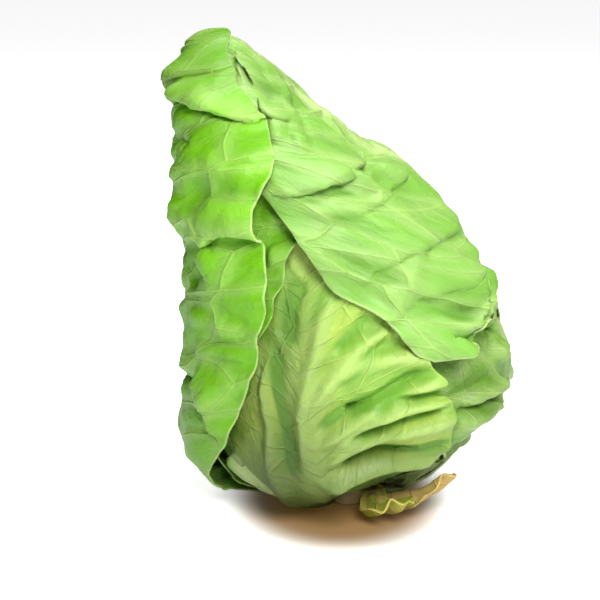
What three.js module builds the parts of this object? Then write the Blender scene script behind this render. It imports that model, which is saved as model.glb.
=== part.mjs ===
// A pointed spring cabbage: a leaning, teardrop-shaped head of wrapped leaves that stands on its cut stalk.
// Millimetres, +Z up. The origin is the centre of the stalk's cut face, and -Y is the side where the
// front leaf's broad white rib climbs from the stalk.
import * as THREE from "three";

const { smoothstep, degToRad, clamp } = THREE.MathUtils;

// The stalk, cut flat at the bottom.
const STEM_RADIUS = 12.4;
const STEM_TOP = 24;
const STEM_CHAMFER = 1.2;
const STEM_CLEARANCE = 1;

// The head is laid out on a form: a profile of radius and height, turned round a leaning axis.
const PROFILE = [
  [14, 14.5],
  [26, 13.5],
  [39, 16],
  [51, 27],
  [59, 46],
  [61.5, 73],
  [58.5, 104],
  [51.5, 133],
  [42, 158],
  [30, 181],
  [18, 202],
  [8, 211.5],
  [0.5, 213],
];
const DEPTH_SHARE = 0.95; // the head is a little flatter from front to back
const BASE_SHIFT = -3;
const UNDERCUT = 6; // the underside lies further left than the belly does
const UNDERCUT_FROM = 28;
const UNDERCUT_TO = 58;
const LEAN = 56; // how far the tip lies to the left of the stalk
const LEAN_FROM = 85;
const LEAN_TO = 235;

// Depths are counted outwards from the form. Inside it, they run towards a core line.
const CORE_DEPTH = 40;
const CORE_RADIUS = 14.5;
const CORE_BOTTOM = 34;
const CORE_TOP = 188;

// The heart stands for the innermost leaves, folded too tightly to lie apart.
const HEART_DEPTH = -11;
const HEART_INSET = 2.5; // its furrowed surface stays this far inside that depth
const HEART_FURROW = 1.2;
const HEART_FROM = 0.02;
const HEART_TO = 0.96;
const HEART_AROUND = 26;
const HEART_RINGS = 16;

// The inner leaves, each grown a golden angle on from the last.
const INNER_LEAVES = 4;
const INNER_FIRST_TURN = 40;
const GOLDEN_ANGLE = 137.5;
const INNER_HALF = 92; // how far an inner leaf reaches to each side of its rib, in degrees
const INNER_FOOT = 24;
const INNER_TIP = 0.93;
const INNER_GAP = 1.3;

const GAP = 0.9; // clearance kept between two wrapper leaves
const LOWEST = 0.25; // leaves stay this far above the surface that the stalk stands on
const BLADE = 1.6; // a leaf's thickness away from its rib

const profile = new THREE.SplineCurve(PROFILE.map(([r, z]) => new THREE.Vector2(r, z)));
profile.arcLengthDivisions = 600;

// The axis of the head at height z.
function axisX(z) {
  const undercut = UNDERCUT * (1 - smoothstep(z, UNDERCUT_FROM, UNDERCUT_TO));
  return BASE_SHIFT - undercut - LEAN * smoothstep(z, LEAN_FROM, LEAN_TO);
}

// Radius and height at a rise, from 0 at the stalk to 1 at the tip, and a depth in millimetres.
function section(rise, depth) {
  const { x: r, y: z } = profile.getPointAt(rise);
  if (depth >= 0) {
    const along = profile.getTangentAt(rise);
    return [Math.max(r + depth * along.y, STEM_RADIUS + STEM_CLEARANCE), z - depth * along.x];
  }
  const share = -depth / CORE_DEPTH;
  const coreR = CORE_RADIUS * (1 - smoothstep(rise, 0, 0.25));
  const coreZ = CORE_BOTTOM + (CORE_TOP - CORE_BOTTOM) * rise;
  return [r + (coreR - r) * share, z + (coreZ - z) * share];
}

// A place on the head. The turn is in degrees from the front, and grows towards +X.
function place(turn, rise, depth) {
  const [r, z] = section(clamp(rise, 0, 1), depth);
  // Close round the stalk the leaves are round and centred on it.
  const away = Math.max(smoothstep(r, 16, 42), smoothstep(z, 28, 55));
  const flatter = 1 - (1 - DEPTH_SHARE) * away;
  const a = degToRad(turn);
  return new THREE.Vector3(
    axisX(z) * away + r * Math.sin(a),
    -flatter * r * Math.cos(a),
    Math.max(z, LOWEST),
  );
}

// A map over turn and rise of the outermost depth that is covered so far.
class Cover {
  static TURN_STEP = 2;
  static RISE_STEP = 0.01;

  constructor(depth) {
    this.turns = 360 / Cover.TURN_STEP;
    this.rises = Math.round(1 / Cover.RISE_STEP) + 1;
    this.depths = new Float32Array(this.turns * this.rises).fill(depth);
  }

  cell(turn, rise) {
    const i = ((Math.round(turn / Cover.TURN_STEP) % this.turns) + this.turns) % this.turns;
    const j = clamp(Math.round(rise / Cover.RISE_STEP), 0, this.rises - 1);
    return j * this.turns + i;
  }

  raise(turn, rise, depth) {
    const k = this.cell(turn, rise);
    this.depths[k] = Math.max(this.depths[k], depth);
  }

  // The outermost depth within a few cells, so that a flat facet can't cut into what lies below.
  near(turn, rise, cellsRound = 4, cellsUp = 3) {
    let most = -Infinity;
    for (let i = -cellsRound; i <= cellsRound; i++) {
      for (let j = -cellsUp; j <= cellsUp; j++) {
        const k = this.cell(turn + i * Cover.TURN_STEP, rise + j * Cover.RISE_STEP);
        most = Math.max(most, this.depths[k]);
      }
    }
    return most;
  }
}

// A curve through points of [turn, rise, lift].
function netCurve(points) {
  const vectors = points.map((point) => new THREE.Vector3(...point));
  return new THREE.CatmullRomCurve3(vectors, false, "catmullrom", 0.5);
}

// A leaf's free margins stand up in waves.
function ruffleAt(u, v, { height = 0, waves = 5, start = 0 } = {}) {
  const phase = 2 * Math.PI * (waves * u + start) + (v > 0 ? 2 : 0);
  return height * Math.abs(v) ** 3 * smoothstep(u, 0.1, 0.35) * (1 + Math.sin(phase));
}

// Folds that fan out from the rib towards the right margin.
function pleatAt(u, v, { height = 0, folds = 5, slant = 0.1, start = 0 } = {}) {
  if (v <= 0) return 0;
  const middle = smoothstep(u, 0.08, 0.22) * (1 - smoothstep(u, 0.62, 0.85));
  const wave = 1 + Math.sin(2 * Math.PI * (folds * (u - slant * v) + start));
  return height * smoothstep(v, 0.05, 0.7) * middle * wave;
}

// The rib is thick at the foot and thins out towards the tip.
function thicknessAt(u, across, { foot, halfWidth }) {
  const width = halfWidth * (1.25 - 0.95 * smoothstep(u, 0, 0.6));
  const swell = Math.exp(-((across / width) ** 2));
  return BLADE + foot * swell * (1 - 0.85 * smoothstep(u, 0.03, 0.55));
}

// A leaf's net is rows from its foot to its tip. A row holds the left margin, the rib and the right margin,
// each as [turn, rise, lift], where lift is how far the leaf stands off what it lies on.
function leafPlan({ rows, ruffle, pleat, rib }) {
  const [left, middle, right] = [0, 1, 2].map((side) => netCurve(rows.map((row) => row[side])));
  return (u, v) => {
    const [a, b, c] = [left.getPoint(u), middle.getPoint(u), right.getPoint(u)];
    const slope = c.clone().sub(a).multiplyScalar(v / 2);
    const bend = a.add(c).multiplyScalar(0.5).sub(b).multiplyScalar(v * v);
    const at = b.clone().add(slope).add(bend);
    const rise = clamp(at.y, 0, 1);
    const across = degToRad(at.x - b.x) * profile.getPointAt(rise).x;
    return {
      turn: at.x,
      rise,
      lift: Math.max(at.z, 0) + ruffleAt(u, v, ruffle) + pleatAt(u, v, pleat),
      thickness: thicknessAt(u, across, rib),
    };
  };
}

// A leaf is stiff, so it passes smoothly over the steps of what it lies on, but never through them.
function relax(nodes, along, across, passes = 6) {
  const columns = across + 1;
  for (let pass = 0; pass < passes; pass++) {
    const before = nodes.map((node) => node.depth);
    nodes.forEach((node, k) => {
      const [i, j] = [Math.floor(k / columns), k % columns];
      const near = [];
      if (i > 0) near.push(before[k - columns]);
      if (i < along) near.push(before[k + columns]);
      if (j > 0) near.push(before[k - 1]);
      if (j < across) near.push(before[k + 1]);
      const mean = near.reduce((sum, depth) => sum + depth, 0) / near.length;
      node.depth = Math.max(node.floor, (before[k] + mean) / 2);
    });
  }
}

// Adds a leaf to the map, from samples closer together than the map's cells.
function spread(cover, nodes, along, across, finer = 6) {
  const columns = across + 1;
  const samples = (count) => Array.from({ length: count * finer + 1 }, (_, i) => i / finer);
  for (const x of samples(along)) {
    for (const y of samples(across)) {
      const [i, j] = [Math.min(Math.floor(x), along - 1), Math.min(Math.floor(y), across - 1)];
      const [fx, fy] = [x - i, y - j];
      const corner = i * columns + j;
      const mix = (key) =>
        nodes[corner][key] * (1 - fx) * (1 - fy) +
        nodes[corner + 1][key] * (1 - fx) * fy +
        nodes[corner + columns][key] * fx * (1 - fy) +
        nodes[corner + columns + 1][key] * fx * fy;
      cover.raise(mix("turn"), mix("rise"), mix("depth") + mix("thickness"));
    }
  }
}

function solid(vertices, faces) {
  const positions = vertices.flatMap(({ x, y, z }) => [x, y, z]);
  const geometry = new THREE.BufferGeometry();
  geometry.setAttribute("position", new THREE.Float32BufferAttribute(positions, 3));
  geometry.setIndex(faces);
  geometry.computeVertexNormals();
  return geometry;
}

// The closed shell of a leaf: its inner face, its outer face and the rim between them.
function leafShell(nodes, along, across) {
  const columns = across + 1;
  const inner = nodes.map(({ turn, rise, depth }) => place(turn, rise, depth));
  const outer = nodes.map((node) => place(node.turn, node.rise, node.depth + node.thickness));
  const lift = nodes.length; // an outer vertex's index less that of the inner vertex below it
  const faces = [];
  const quad = (a, b, c, d) => faces.push(a, b, c, a, c, d);
  for (let i = 0; i < along; i++) {
    for (let j = 0; j < across; j++) {
      const a = i * columns + j;
      const [b, c, d] = [a + 1, a + columns + 1, a + columns];
      quad(a, d, c, b);
      quad(a + lift, b + lift, c + lift, d + lift);
    }
  }
  const rim = [];
  for (let j = 0; j < across; j++) rim.push(j);
  for (let i = 0; i < along; i++) rim.push(i * columns + across);
  for (let j = across; j > 0; j--) rim.push(along * columns + j);
  for (let i = along; i > 0; i--) rim.push(i * columns);
  rim.forEach((a, k) => {
    const b = rim[(k + 1) % rim.length];
    quad(a, b, b + lift, a + lift);
  });
  return solid([...inner, ...outer], faces);
}

// Lays one leaf over everything laid so far.
function layLeaf(cover, leaf) {
  const { along, across, gap = GAP } = leaf;
  const plan = leafPlan(leaf);
  const nodes = [];
  for (let i = 0; i <= along; i++) {
    for (let j = 0; j <= across; j++) {
      const node = plan(i / along, (2 * j) / across - 1);
      node.floor = cover.near(node.turn, node.rise) + gap;
      node.depth = node.floor;
      nodes.push(node);
    }
  }
  relax(nodes, along, across);
  for (const node of nodes) node.depth += node.lift;
  spread(cover, nodes, along, across);
  return leafShell(nodes, along, across);
}

// The stalk: a short cylinder with its edges rounded by the knife.
function stemGeometry() {
  const outline = [
    [0, 0],
    [STEM_RADIUS - STEM_CHAMFER, 0],
    [STEM_RADIUS, STEM_CHAMFER],
    [STEM_RADIUS, STEM_TOP - STEM_CHAMFER],
    [STEM_RADIUS - STEM_CHAMFER, STEM_TOP],
    [0, STEM_TOP],
  ].map(([r, z]) => new THREE.Vector2(r, z));
  return new THREE.LatheGeometry(outline, 28).rotateX(Math.PI / 2);
}

function heartGeometry() {
  const vertices = [];
  for (let i = 0; i <= HEART_RINGS; i++) {
    for (let j = 0; j < HEART_AROUND; j++) {
      const rise = HEART_FROM + ((HEART_TO - HEART_FROM) * i) / HEART_RINGS;
      const turn = (360 * j) / HEART_AROUND;
      const furrow = HEART_FURROW * Math.cos(degToRad(3 * turn + 200 * rise));
      const point = place(turn, rise, HEART_DEPTH - HEART_INSET + furrow);
      point.z = Math.max(point.z, STEM_TOP + 0.4);
      vertices.push(point);
    }
  }
  const middleOf = (points) =>
    points
      .reduce((sum, point) => sum.add(point), new THREE.Vector3())
      .divideScalar(points.length);
  const lastRing = HEART_RINGS * HEART_AROUND;
  const [foot, tip] = [vertices.length, vertices.length + 1];
  const ends = [vertices.slice(0, HEART_AROUND), vertices.slice(lastRing)].map(middleOf);
  const faces = [];
  for (let j = 0; j < HEART_AROUND; j++) {
    const next = (j + 1) % HEART_AROUND;
    faces.push(foot, next, j, tip, lastRing + j, lastRing + next);
    for (let i = 0; i < HEART_RINGS; i++) {
      const [a, b] = [i * HEART_AROUND + j, i * HEART_AROUND + next];
      faces.push(a, b, b + HEART_AROUND, a, b + HEART_AROUND, a + HEART_AROUND);
    }
  }
  return solid([...vertices, ...ends], faces);
}

// A plain inner leaf, as its half width at shares of its height.
function innerLeaf(turn, tip) {
  const widths = [
    [0, INNER_FOOT],
    [0.1, INNER_FOOT * 1.15],
    [0.24, INNER_HALF * 0.62],
    [0.42, INNER_HALF * 0.95],
    [0.6, INNER_HALF],
    [0.78, INNER_HALF * 0.95],
    [0.92, INNER_HALF * 0.8],
    [1, INNER_HALF * 0.6],
  ];
  const row = ([share, half]) =>
    [turn - half, turn, turn + half].map((side) => [side, share * tip, 0]);
  return {
    rows: widths.map(row),
    rib: { foot: 1.6, halfWidth: 9 },
    along: 12,
    across: 12,
    gap: INNER_GAP,
  };
}

// The wrapper leaves, from the lowest layer to the outermost, with the stubs of two that were cut away.
const WRAPPERS = {
  lower_left_under_leaf: {
    rows: [
      [[-84, 0, 0], [-62, 0, 0], [-40, 0, 0]],
      [[-88, 0.09, 0], [-62, 0.09, 0], [-37, 0.09, 0]],
      [[-98, 0.18, 0], [-62, 0.19, 0], [-28, 0.2, 0]],
      [[-104, 0.3, 0], [-63, 0.32, 0], [-22, 0.34, 0]],
      [[-102, 0.44, 0], [-64, 0.47, 0], [-26, 0.5, 0]],
      [[-92, 0.58, 0], [-66, 0.62, 0], [-38, 0.64, 0]],
    ],
    rib: { foot: 3.2, halfWidth: 8 },
    along: 14,
    across: 10,
  },
  right_under_leaf: {
    rows: [
      [[92, 0, 0], [114, 0, 0], [136, 0, 0]],
      [[88, 0.09, 0], [114, 0.09, 0], [140, 0.09, 0]],
      [[84, 0.17, 0], [114, 0.17, 0], [144, 0.17, 0]],
      [[79, 0.215, 4], [114, 0.24, 1], [148, 0.24, 1]],
      [[64, 0.24, 4], [114, 0.31, 0], [150, 0.33, 0]],
      [[48, 0.255, 2], [113, 0.38, 0], [150, 0.42, 0]],
      [[36, 0.32, 0], [112, 0.46, 0], [148, 0.5, 0]],
      [[38, 0.44, 0], [110, 0.54, 0], [142, 0.57, 0]],
      [[60, 0.56, 0], [108, 0.62, 0], [132, 0.63, 0]],
    ],
    rib: { foot: 3.4, halfWidth: 8 },
    along: 16,
    across: 12,
    gap: 1.3,
  },
  lower_left_leaf: {
    rows: [
      [[-66, 0, 0], [-42, 0, 0], [-18, 0, 0]],
      [[-72, 0.08, 0], [-42, 0.09, 0], [-14, 0.09, 0]],
      [[-92, 0.14, 0], [-46, 0.18, 0], [-6, 0.19, 0]],
      [[-112, 0.24, 0], [-52, 0.3, 0], [-2, 0.32, 0]],
      [[-116, 0.4, 0], [-58, 0.46, 0], [0, 0.48, 0]],
      [[-112, 0.58, 0], [-60, 0.62, 0], [-6, 0.64, 0]],
      [[-100, 0.72, 0], [-62, 0.78, 0], [-22, 0.78, 0]],
    ],
    rib: { foot: 3.4, halfWidth: 9 },
    along: 16,
    across: 12,
  },
  back_leaf: {
    rows: [
      [[150, 0, 0], [176, 0, 0], [202, 0, 0]],
      [[146, 0.09, 0], [176, 0.09, 0], [206, 0.09, 0]],
      [[130, 0.18, 2], [176, 0.2, 0], [222, 0.18, 2]],
      [[116, 0.3, 2], [176, 0.33, 0], [236, 0.3, 2]],
      [[110, 0.45, 0], [176, 0.48, 0], [242, 0.45, 1]],
      [[112, 0.6, 0], [176, 0.63, 0], [240, 0.6, 0]],
      [[120, 0.76, 0], [178, 0.8, 0], [234, 0.77, 0]],
      [[140, 0.88, 0], [180, 0.92, 0], [220, 0.89, 0]],
    ],
    ruffle: { height: 0.8, waves: 5 },
    rib: { foot: 4.6, halfWidth: 12 },
    along: 18,
    across: 14,
  },
  right_low_leaf: {
    rows: [
      [[70, 0, 0], [94, 0, 0], [118, 0, 0]],
      [[66, 0.09, 0], [94, 0.09, 0], [122, 0.09, 0]],
      [[66, 0.18, 0], [96, 0.18, 0], [126, 0.18, 0]],
      [[68, 0.235, 4], [98, 0.25, 11], [130, 0.26, 1]],
      [[56, 0.262, 3], [99, 0.32, 11], [134, 0.34, 2]],
      [[40, 0.275, 2], [99, 0.39, 7], [136, 0.42, 2]],
      [[26, 0.33, 0], [99, 0.46, 2], [136, 0.5, 0]],
      [[20, 0.43, 0], [98, 0.53, 0], [132, 0.57, 0]],
      [[26, 0.53, 0], [96, 0.6, 0], [126, 0.63, 0]],
      [[48, 0.62, 0], [94, 0.67, 0], [116, 0.68, 0]],
    ],
    ruffle: { height: 0.8, waves: 6, start: 0.2 },
    rib: { foot: 4, halfWidth: 9 },
    along: 20,
    across: 15,
  },
  front_leaf: {
    rows: [
      [[-32, 0, 0], [3, 0, 0], [38, 0, 0]],
      [[-30, 0.08, 0], [3, 0.08, 0], [38, 0.08, 0]],
      [[-32, 0.155, 0], [-1, 0.155, 0], [44, 0.15, 1]],
      [[-46, 0.215, 0], [-7, 0.22, 0], [47, 0.215, 2]],
      [[-60, 0.28, 0], [-12, 0.28, 0], [44, 0.285, 2]],
      [[-70, 0.34, 0], [-16, 0.335, 0], [52, 0.33, 2]],
      [[-74, 0.41, 0], [-18, 0.385, 0], [70, 0.355, 1]],
      [[-74, 0.48, 0], [-17, 0.45, 0], [74, 0.43, 0]],
      [[-70, 0.56, 0], [-13, 0.54, 0], [64, 0.52, 0]],
      [[-60, 0.66, 0], [-9, 0.65, 0], [48, 0.63, 0]],
      [[-44, 0.78, 0], [-7, 0.78, 0], [32, 0.76, 0]],
    ],
    pleat: { height: 1.8, folds: 6, slant: 0.1, start: 0.1 },
    rib: { foot: 5, halfWidth: 15 },
    along: 26,
    across: 17,
  },
  left_inner_leaf: {
    rows: [
      [[-122, 0, 0], [-98, 0, 0], [-74, 0, 0]],
      [[-126, 0.09, 0], [-98, 0.09, 0], [-74, 0.09, 0]],
      [[-144, 0.2, 0], [-98, 0.2, 0], [-64, 0.21, 0]],
      [[-158, 0.33, 0], [-94, 0.34, 0], [-50, 0.35, 0]],
      [[-160, 0.47, 0], [-88, 0.48, 0], [-29, 0.47, 0]],
      [[-158, 0.6, 0], [-82, 0.61, 0], [-15, 0.57, 1.5]],
      [[-150, 0.73, 0], [-74, 0.74, 0], [6, 0.66, 1]],
      [[-140, 0.85, 0], [-66, 0.86, 0], [22, 0.82, 0]],
      [[-120, 0.95, 0], [-60, 0.96, 0], [10, 0.95, 0]],
    ],
    rib: { foot: 3.4, halfWidth: 9 },
    along: 16,
    across: 12,
    gap: 1.3,
  },
  front_stub: {
    rows: [
      [[18, 0, 0], [34, 0, 0], [50, 0, 0]],
      [[19, 0.05, 0], [34, 0.05, 0], [49, 0.05, 0]],
      [[20, 0.08, 3], [34, 0.085, 3], [48, 0.08, 3]],
      [[23, 0.1, 6], [35, 0.115, 5], [46, 0.1, 7]],
    ],
    rib: { foot: 2.4, halfWidth: 9 },
    along: 6,
    across: 6,
  },
  right_stub: {
    rows: [
      [[54, 0, 0], [66, 0, 0], [78, 0, 0]],
      [[53, 0.06, 0], [66, 0.06, 0], [79, 0.06, 0]],
      [[53, 0.11, 1.5], [66, 0.12, 1.5], [80, 0.11, 2]],
      [[55, 0.145, 4], [66, 0.165, 2.5], [77, 0.15, 5]],
    ],
    rib: { foot: 2.4, halfWidth: 9 },
    along: 7,
    across: 6,
  },
  right_leaf: {
    rows: [
      [[100, 0, 0], [126, 0, 0], [152, 0, 0]],
      [[102, 0.09, 0], [128, 0.09, 0], [156, 0.09, 0]],
      [[107, 0.2, 0], [130, 0.19, 0], [168, 0.2, 1]],
      [[111, 0.32, 0], [132, 0.31, 0], [182, 0.32, 1]],
      [[109, 0.42, 1], [131, 0.42, 0], [192, 0.44, 1]],
      [[96, 0.472, 1], [128, 0.5, 0], [196, 0.53, 0]],
      [[82, 0.47, 2], [122, 0.56, 1], [196, 0.59, 0]],
      [[67, 0.44, 2], [116, 0.61, 2], [196, 0.65, 0]],
      [[51, 0.405, 2], [110, 0.65, 6], [196, 0.7, 0]],
      [[26, 0.425, 2], [105, 0.69, 7], [196, 0.75, 0]],
      [[5, 0.52, 1.5], [101, 0.73, 5], [195, 0.79, 0]],
      [[-5, 0.61, 1.5], [97, 0.78, 3], [194, 0.83, 0]],
      [[-15, 0.71, 1], [93, 0.83, 2], [190, 0.87, 0]],
      [[-10, 0.81, 0], [88, 0.89, 1], [186, 0.92, 0]],
      [[26, 0.91, 2], [84, 0.95, 1], [160, 0.965, 1]],
      [[34, 0.985, 2], [84, 0.99, 2], [134, 0.99, 1]],
    ],
    ruffle: { height: 0.4, waves: 7 },
    rib: { foot: 4.6, halfWidth: 11 },
    along: 28,
    across: 18,
  },
  left_leaf: {
    rows: [
      [[-146, 0, 0], [-116, 0, 0], [-86, 0, 0]],
      [[-152, 0.08, 0], [-116, 0.08, 0], [-80, 0.075, 0]],
      [[-172, 0.17, 2], [-116, 0.17, 5], [-68, 0.14, 3]],
      [[-194, 0.27, 3], [-115, 0.29, 6], [-45, 0.24, 3]],
      [[-204, 0.4, 2], [-114, 0.42, 5], [-34, 0.36, 1.5]],
      [[-206, 0.54, 1], [-112, 0.55, 4], [-25, 0.51, 1]],
      [[-204, 0.67, 0], [-110, 0.68, 4], [-14, 0.65, 1]],
      [[-200, 0.78, 0], [-106, 0.79, 4], [4, 0.76, 1]],
      [[-196, 0.85, 0], [-102, 0.86, 4], [16, 0.84, 1]],
      [[-192, 0.9, 3], [-98, 0.91, 9], [18, 0.9, 4]],
      [[-180, 0.95, 4], [-90, 0.955, 11], [24, 0.95, 5]],
      [[-160, 0.995, 5], [-75, 1, 9], [38, 0.995, 6]],
    ],
    ruffle: { height: 0.6, waves: 6, start: 0.3 },
    rib: { foot: 4.6, halfWidth: 11 },
    along: 26,
    across: 18,
  },
};

const HEART_YELLOW = 0xe6efa6;
const LEAF_GREEN = 0x9bd65a;
const PALE_GREEN = 0xc4e68c;
const STALK_CREAM = 0xe4e8c0;
const STUB_YELLOW = 0xc2c35a;
const WRAPPER_COLOURS = {
  lower_left_leaf: PALE_GREEN,
  front_leaf: PALE_GREEN,
  left_inner_leaf: PALE_GREEN,
  front_stub: STUB_YELLOW,
  right_stub: STUB_YELLOW,
};

const head = new THREE.Group();
function add(name, geometry, color) {
  const material = new THREE.MeshStandardMaterial({ color, roughness: 0.45, metalness: 0 });
  const mesh = new THREE.Mesh(geometry, material);
  mesh.name = name;
  head.add(mesh);
}

const cover = new Cover(HEART_DEPTH);
add("stem", stemGeometry(), STALK_CREAM);
add("heart", heartGeometry(), HEART_YELLOW);
for (let n = 0; n < INNER_LEAVES; n++) {
  const leaf = innerLeaf(INNER_FIRST_TURN + n * GOLDEN_ANGLE, INNER_TIP + 0.005 * n);
  add("inner_leaf_" + (n + 1), layLeaf(cover, leaf), HEART_YELLOW);
}
for (const [name, leaf] of Object.entries(WRAPPERS)) {
  add(name, layLeaf(cover, leaf), WRAPPER_COLOURS[name] ?? LEAF_GREEN);
}

export default head;
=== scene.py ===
import math

import bpy
import numpy as np
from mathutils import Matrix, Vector


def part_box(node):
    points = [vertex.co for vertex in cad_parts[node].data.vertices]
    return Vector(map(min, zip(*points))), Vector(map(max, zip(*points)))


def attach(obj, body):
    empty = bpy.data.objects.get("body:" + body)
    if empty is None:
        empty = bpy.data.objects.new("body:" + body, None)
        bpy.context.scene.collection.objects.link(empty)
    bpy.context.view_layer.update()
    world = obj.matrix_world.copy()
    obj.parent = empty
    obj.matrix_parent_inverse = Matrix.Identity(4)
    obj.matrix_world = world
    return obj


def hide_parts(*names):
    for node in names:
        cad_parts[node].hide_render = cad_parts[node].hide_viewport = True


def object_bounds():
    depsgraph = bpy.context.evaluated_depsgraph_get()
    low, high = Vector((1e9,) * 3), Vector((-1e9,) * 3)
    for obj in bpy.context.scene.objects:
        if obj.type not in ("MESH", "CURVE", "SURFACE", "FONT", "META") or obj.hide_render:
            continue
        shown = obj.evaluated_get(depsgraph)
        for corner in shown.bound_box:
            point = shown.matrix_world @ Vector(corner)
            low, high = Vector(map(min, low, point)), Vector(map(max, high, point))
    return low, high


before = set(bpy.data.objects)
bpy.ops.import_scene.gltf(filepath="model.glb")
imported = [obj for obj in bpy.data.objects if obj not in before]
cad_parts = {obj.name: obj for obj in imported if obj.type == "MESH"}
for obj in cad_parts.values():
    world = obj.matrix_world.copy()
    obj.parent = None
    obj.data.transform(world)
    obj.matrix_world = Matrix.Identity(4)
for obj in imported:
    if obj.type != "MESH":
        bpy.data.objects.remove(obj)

bl_info = {
    "name": "Pointed Cabbage",
    "version": (1, 0, 0),
    "blender": (4, 5, 0),
    "location": "View3D > Sidebar > Cabbage",
    "description": "Builds a pointed cabbage head leaf by leaf round its packed model",
    "category": "Add Mesh",
}

cad_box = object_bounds()
MM = 0.001
BODY = "root"

# ---------------------------------------------------------------- the form that the leaves are laid on
# Lengths in this part are millimetres. A place on the head is a turn in degrees (0 faces -Y and grows
# towards +X), a rise (0 at the stalk, 1 at the tip) and a depth outwards from the form.

stem_low, stem_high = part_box("stem")
STEM_RADIUS = (stem_high.x - stem_low.x) / 2 / MM
STEM_TOP = stem_high.z / MM
PROFILE = [
    (14, 14.5), (26, 13.5), (39, 16), (51, 27), (59, 46), (61.5, 73), (58.5, 104),
    (51.5, 133), (42, 158), (30, 181), (18, 202), (8, 211.5), (0.5, 213),
]
DEPTH_SHARE = 0.95  # the head's depth from front to back, as a share of its width
BASE_SHIFT, UNDERCUT, LEAN = -3, 6, 56  # how far its middle lies aside: overall, at the foot, at the tip
CORE_DEPTH, CORE_RADIUS, CORE_BOTTOM, CORE_TOP = 40, 14.5, 34, 188  # the core that depths inwards lead to
HEART_DEPTH = -11
HEART_CLEARANCE = 0.4
BLADE = 1.6  # thickness of a leaf beside its rib
LOWEST = 0.25  # leaves keep this far off the floor
STEM_EDGE = 1.2  # the rounding of the stalk's rim
STEM_CLEARANCE = 1
TIP_RADIUS = 0.8
MOST_WALL = 4  # a leaf's greatest thickness as shown


def smoothstep(x, low, high):
    t = np.clip((x - low) / (high - low), 0, 1)
    return t * t * (3 - 2 * t)


def spline(points, t):
    """Points on a Catmull-Rom curve at shares t of its knots."""
    points = np.asarray(points, float)
    first, last = 2 * points[0] - points[1], 2 * points[-1] - points[-2]
    knots = np.vstack([first, points, last])
    x = np.clip(t, 0, 1) * (len(points) - 1)
    i = np.minimum(x.astype(int), len(points) - 2)
    w = (x - i)[..., None]
    a, b, c, d = knots[i], knots[i + 1], knots[i + 2], knots[i + 3]
    cubic = (3 * b - a - 3 * c + d) * w**3
    return ((2 * a - 5 * b + 4 * c - d) * w**2 + (c - a) * w + cubic) / 2 + b


curve = spline(PROFILE, np.linspace(0, 1, 3001))
steps = np.linalg.norm(np.diff(curve, axis=0), axis=1)
reach = np.concatenate([[0], np.cumsum(steps)])
PROFILE_LENGTH = reach[-1]
even = np.linspace(0, 1, 1201)
profile_r = np.interp(even * PROFILE_LENGTH, reach, curve[:, 0])
profile_z = np.interp(even * PROFILE_LENGTH, reach, curve[:, 1])
slope_r, slope_z = np.gradient(profile_r), np.gradient(profile_z)
slope_length = np.hypot(slope_r, slope_z)
slope_r, slope_z = slope_r / slope_length, slope_z / slope_length


def radius_at(rise):
    return np.interp(rise, even, profile_r)


def axis_x(z):
    undercut = UNDERCUT * (1 - smoothstep(z, 28, 58))
    return BASE_SHIFT - undercut - LEAN * smoothstep(z, 85, 235)


def place(turn, rise, depth):
    """Points in metres at turns, rises and depths."""
    rise = np.clip(rise, 0, 1)
    r, z = np.interp(rise, even, profile_r), np.interp(rise, even, profile_z)
    along_r, along_z = np.interp(rise, even, slope_r), np.interp(rise, even, slope_z)
    share = -depth / CORE_DEPTH
    core_r = CORE_RADIUS * (1 - smoothstep(rise, 0, 0.25))
    core_z = CORE_BOTTOM + (CORE_TOP - CORE_BOTTOM) * rise
    outside = depth >= 0
    nearest = np.where(rise < 0.5, STEM_RADIUS + STEM_CLEARANCE, TIP_RADIUS)
    out_r = np.maximum(r + depth * along_z, nearest)
    out_z = z - depth * along_r
    r = np.where(outside, out_r, r + (core_r - r) * share)
    z = np.where(outside, out_z, z + (core_z - z) * share)
    away = np.maximum(smoothstep(r, 16, 42), smoothstep(z, 28, 55))
    flatter = 1 - (1 - DEPTH_SHARE) * away
    angle = np.radians(turn)
    x = axis_x(z) * away + r * np.sin(angle)
    y = -flatter * r * np.cos(angle)
    return np.stack([x, y, np.maximum(z, LOWEST)], -1) * MM


# ---------------------------------------------------------------- the leaves' nets
# A net is rows from a leaf's foot to its tip. A row holds the left margin, the rib and the right margin,
# each as (turn, rise, lift), where lift is how far the leaf stands off what it lies on.

def inner_net(turn, tip):
    shares = [
        (0, 24), (0.1, 27.6), (0.24, 57), (0.42, 87.4), (0.6, 92), (0.78, 87.4), (0.92, 73.6), (1, 55.2),
    ]
    return [[(turn + side * half, share * tip, 0) for side in (-1, 0, 1)] for share, half in shares]


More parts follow.
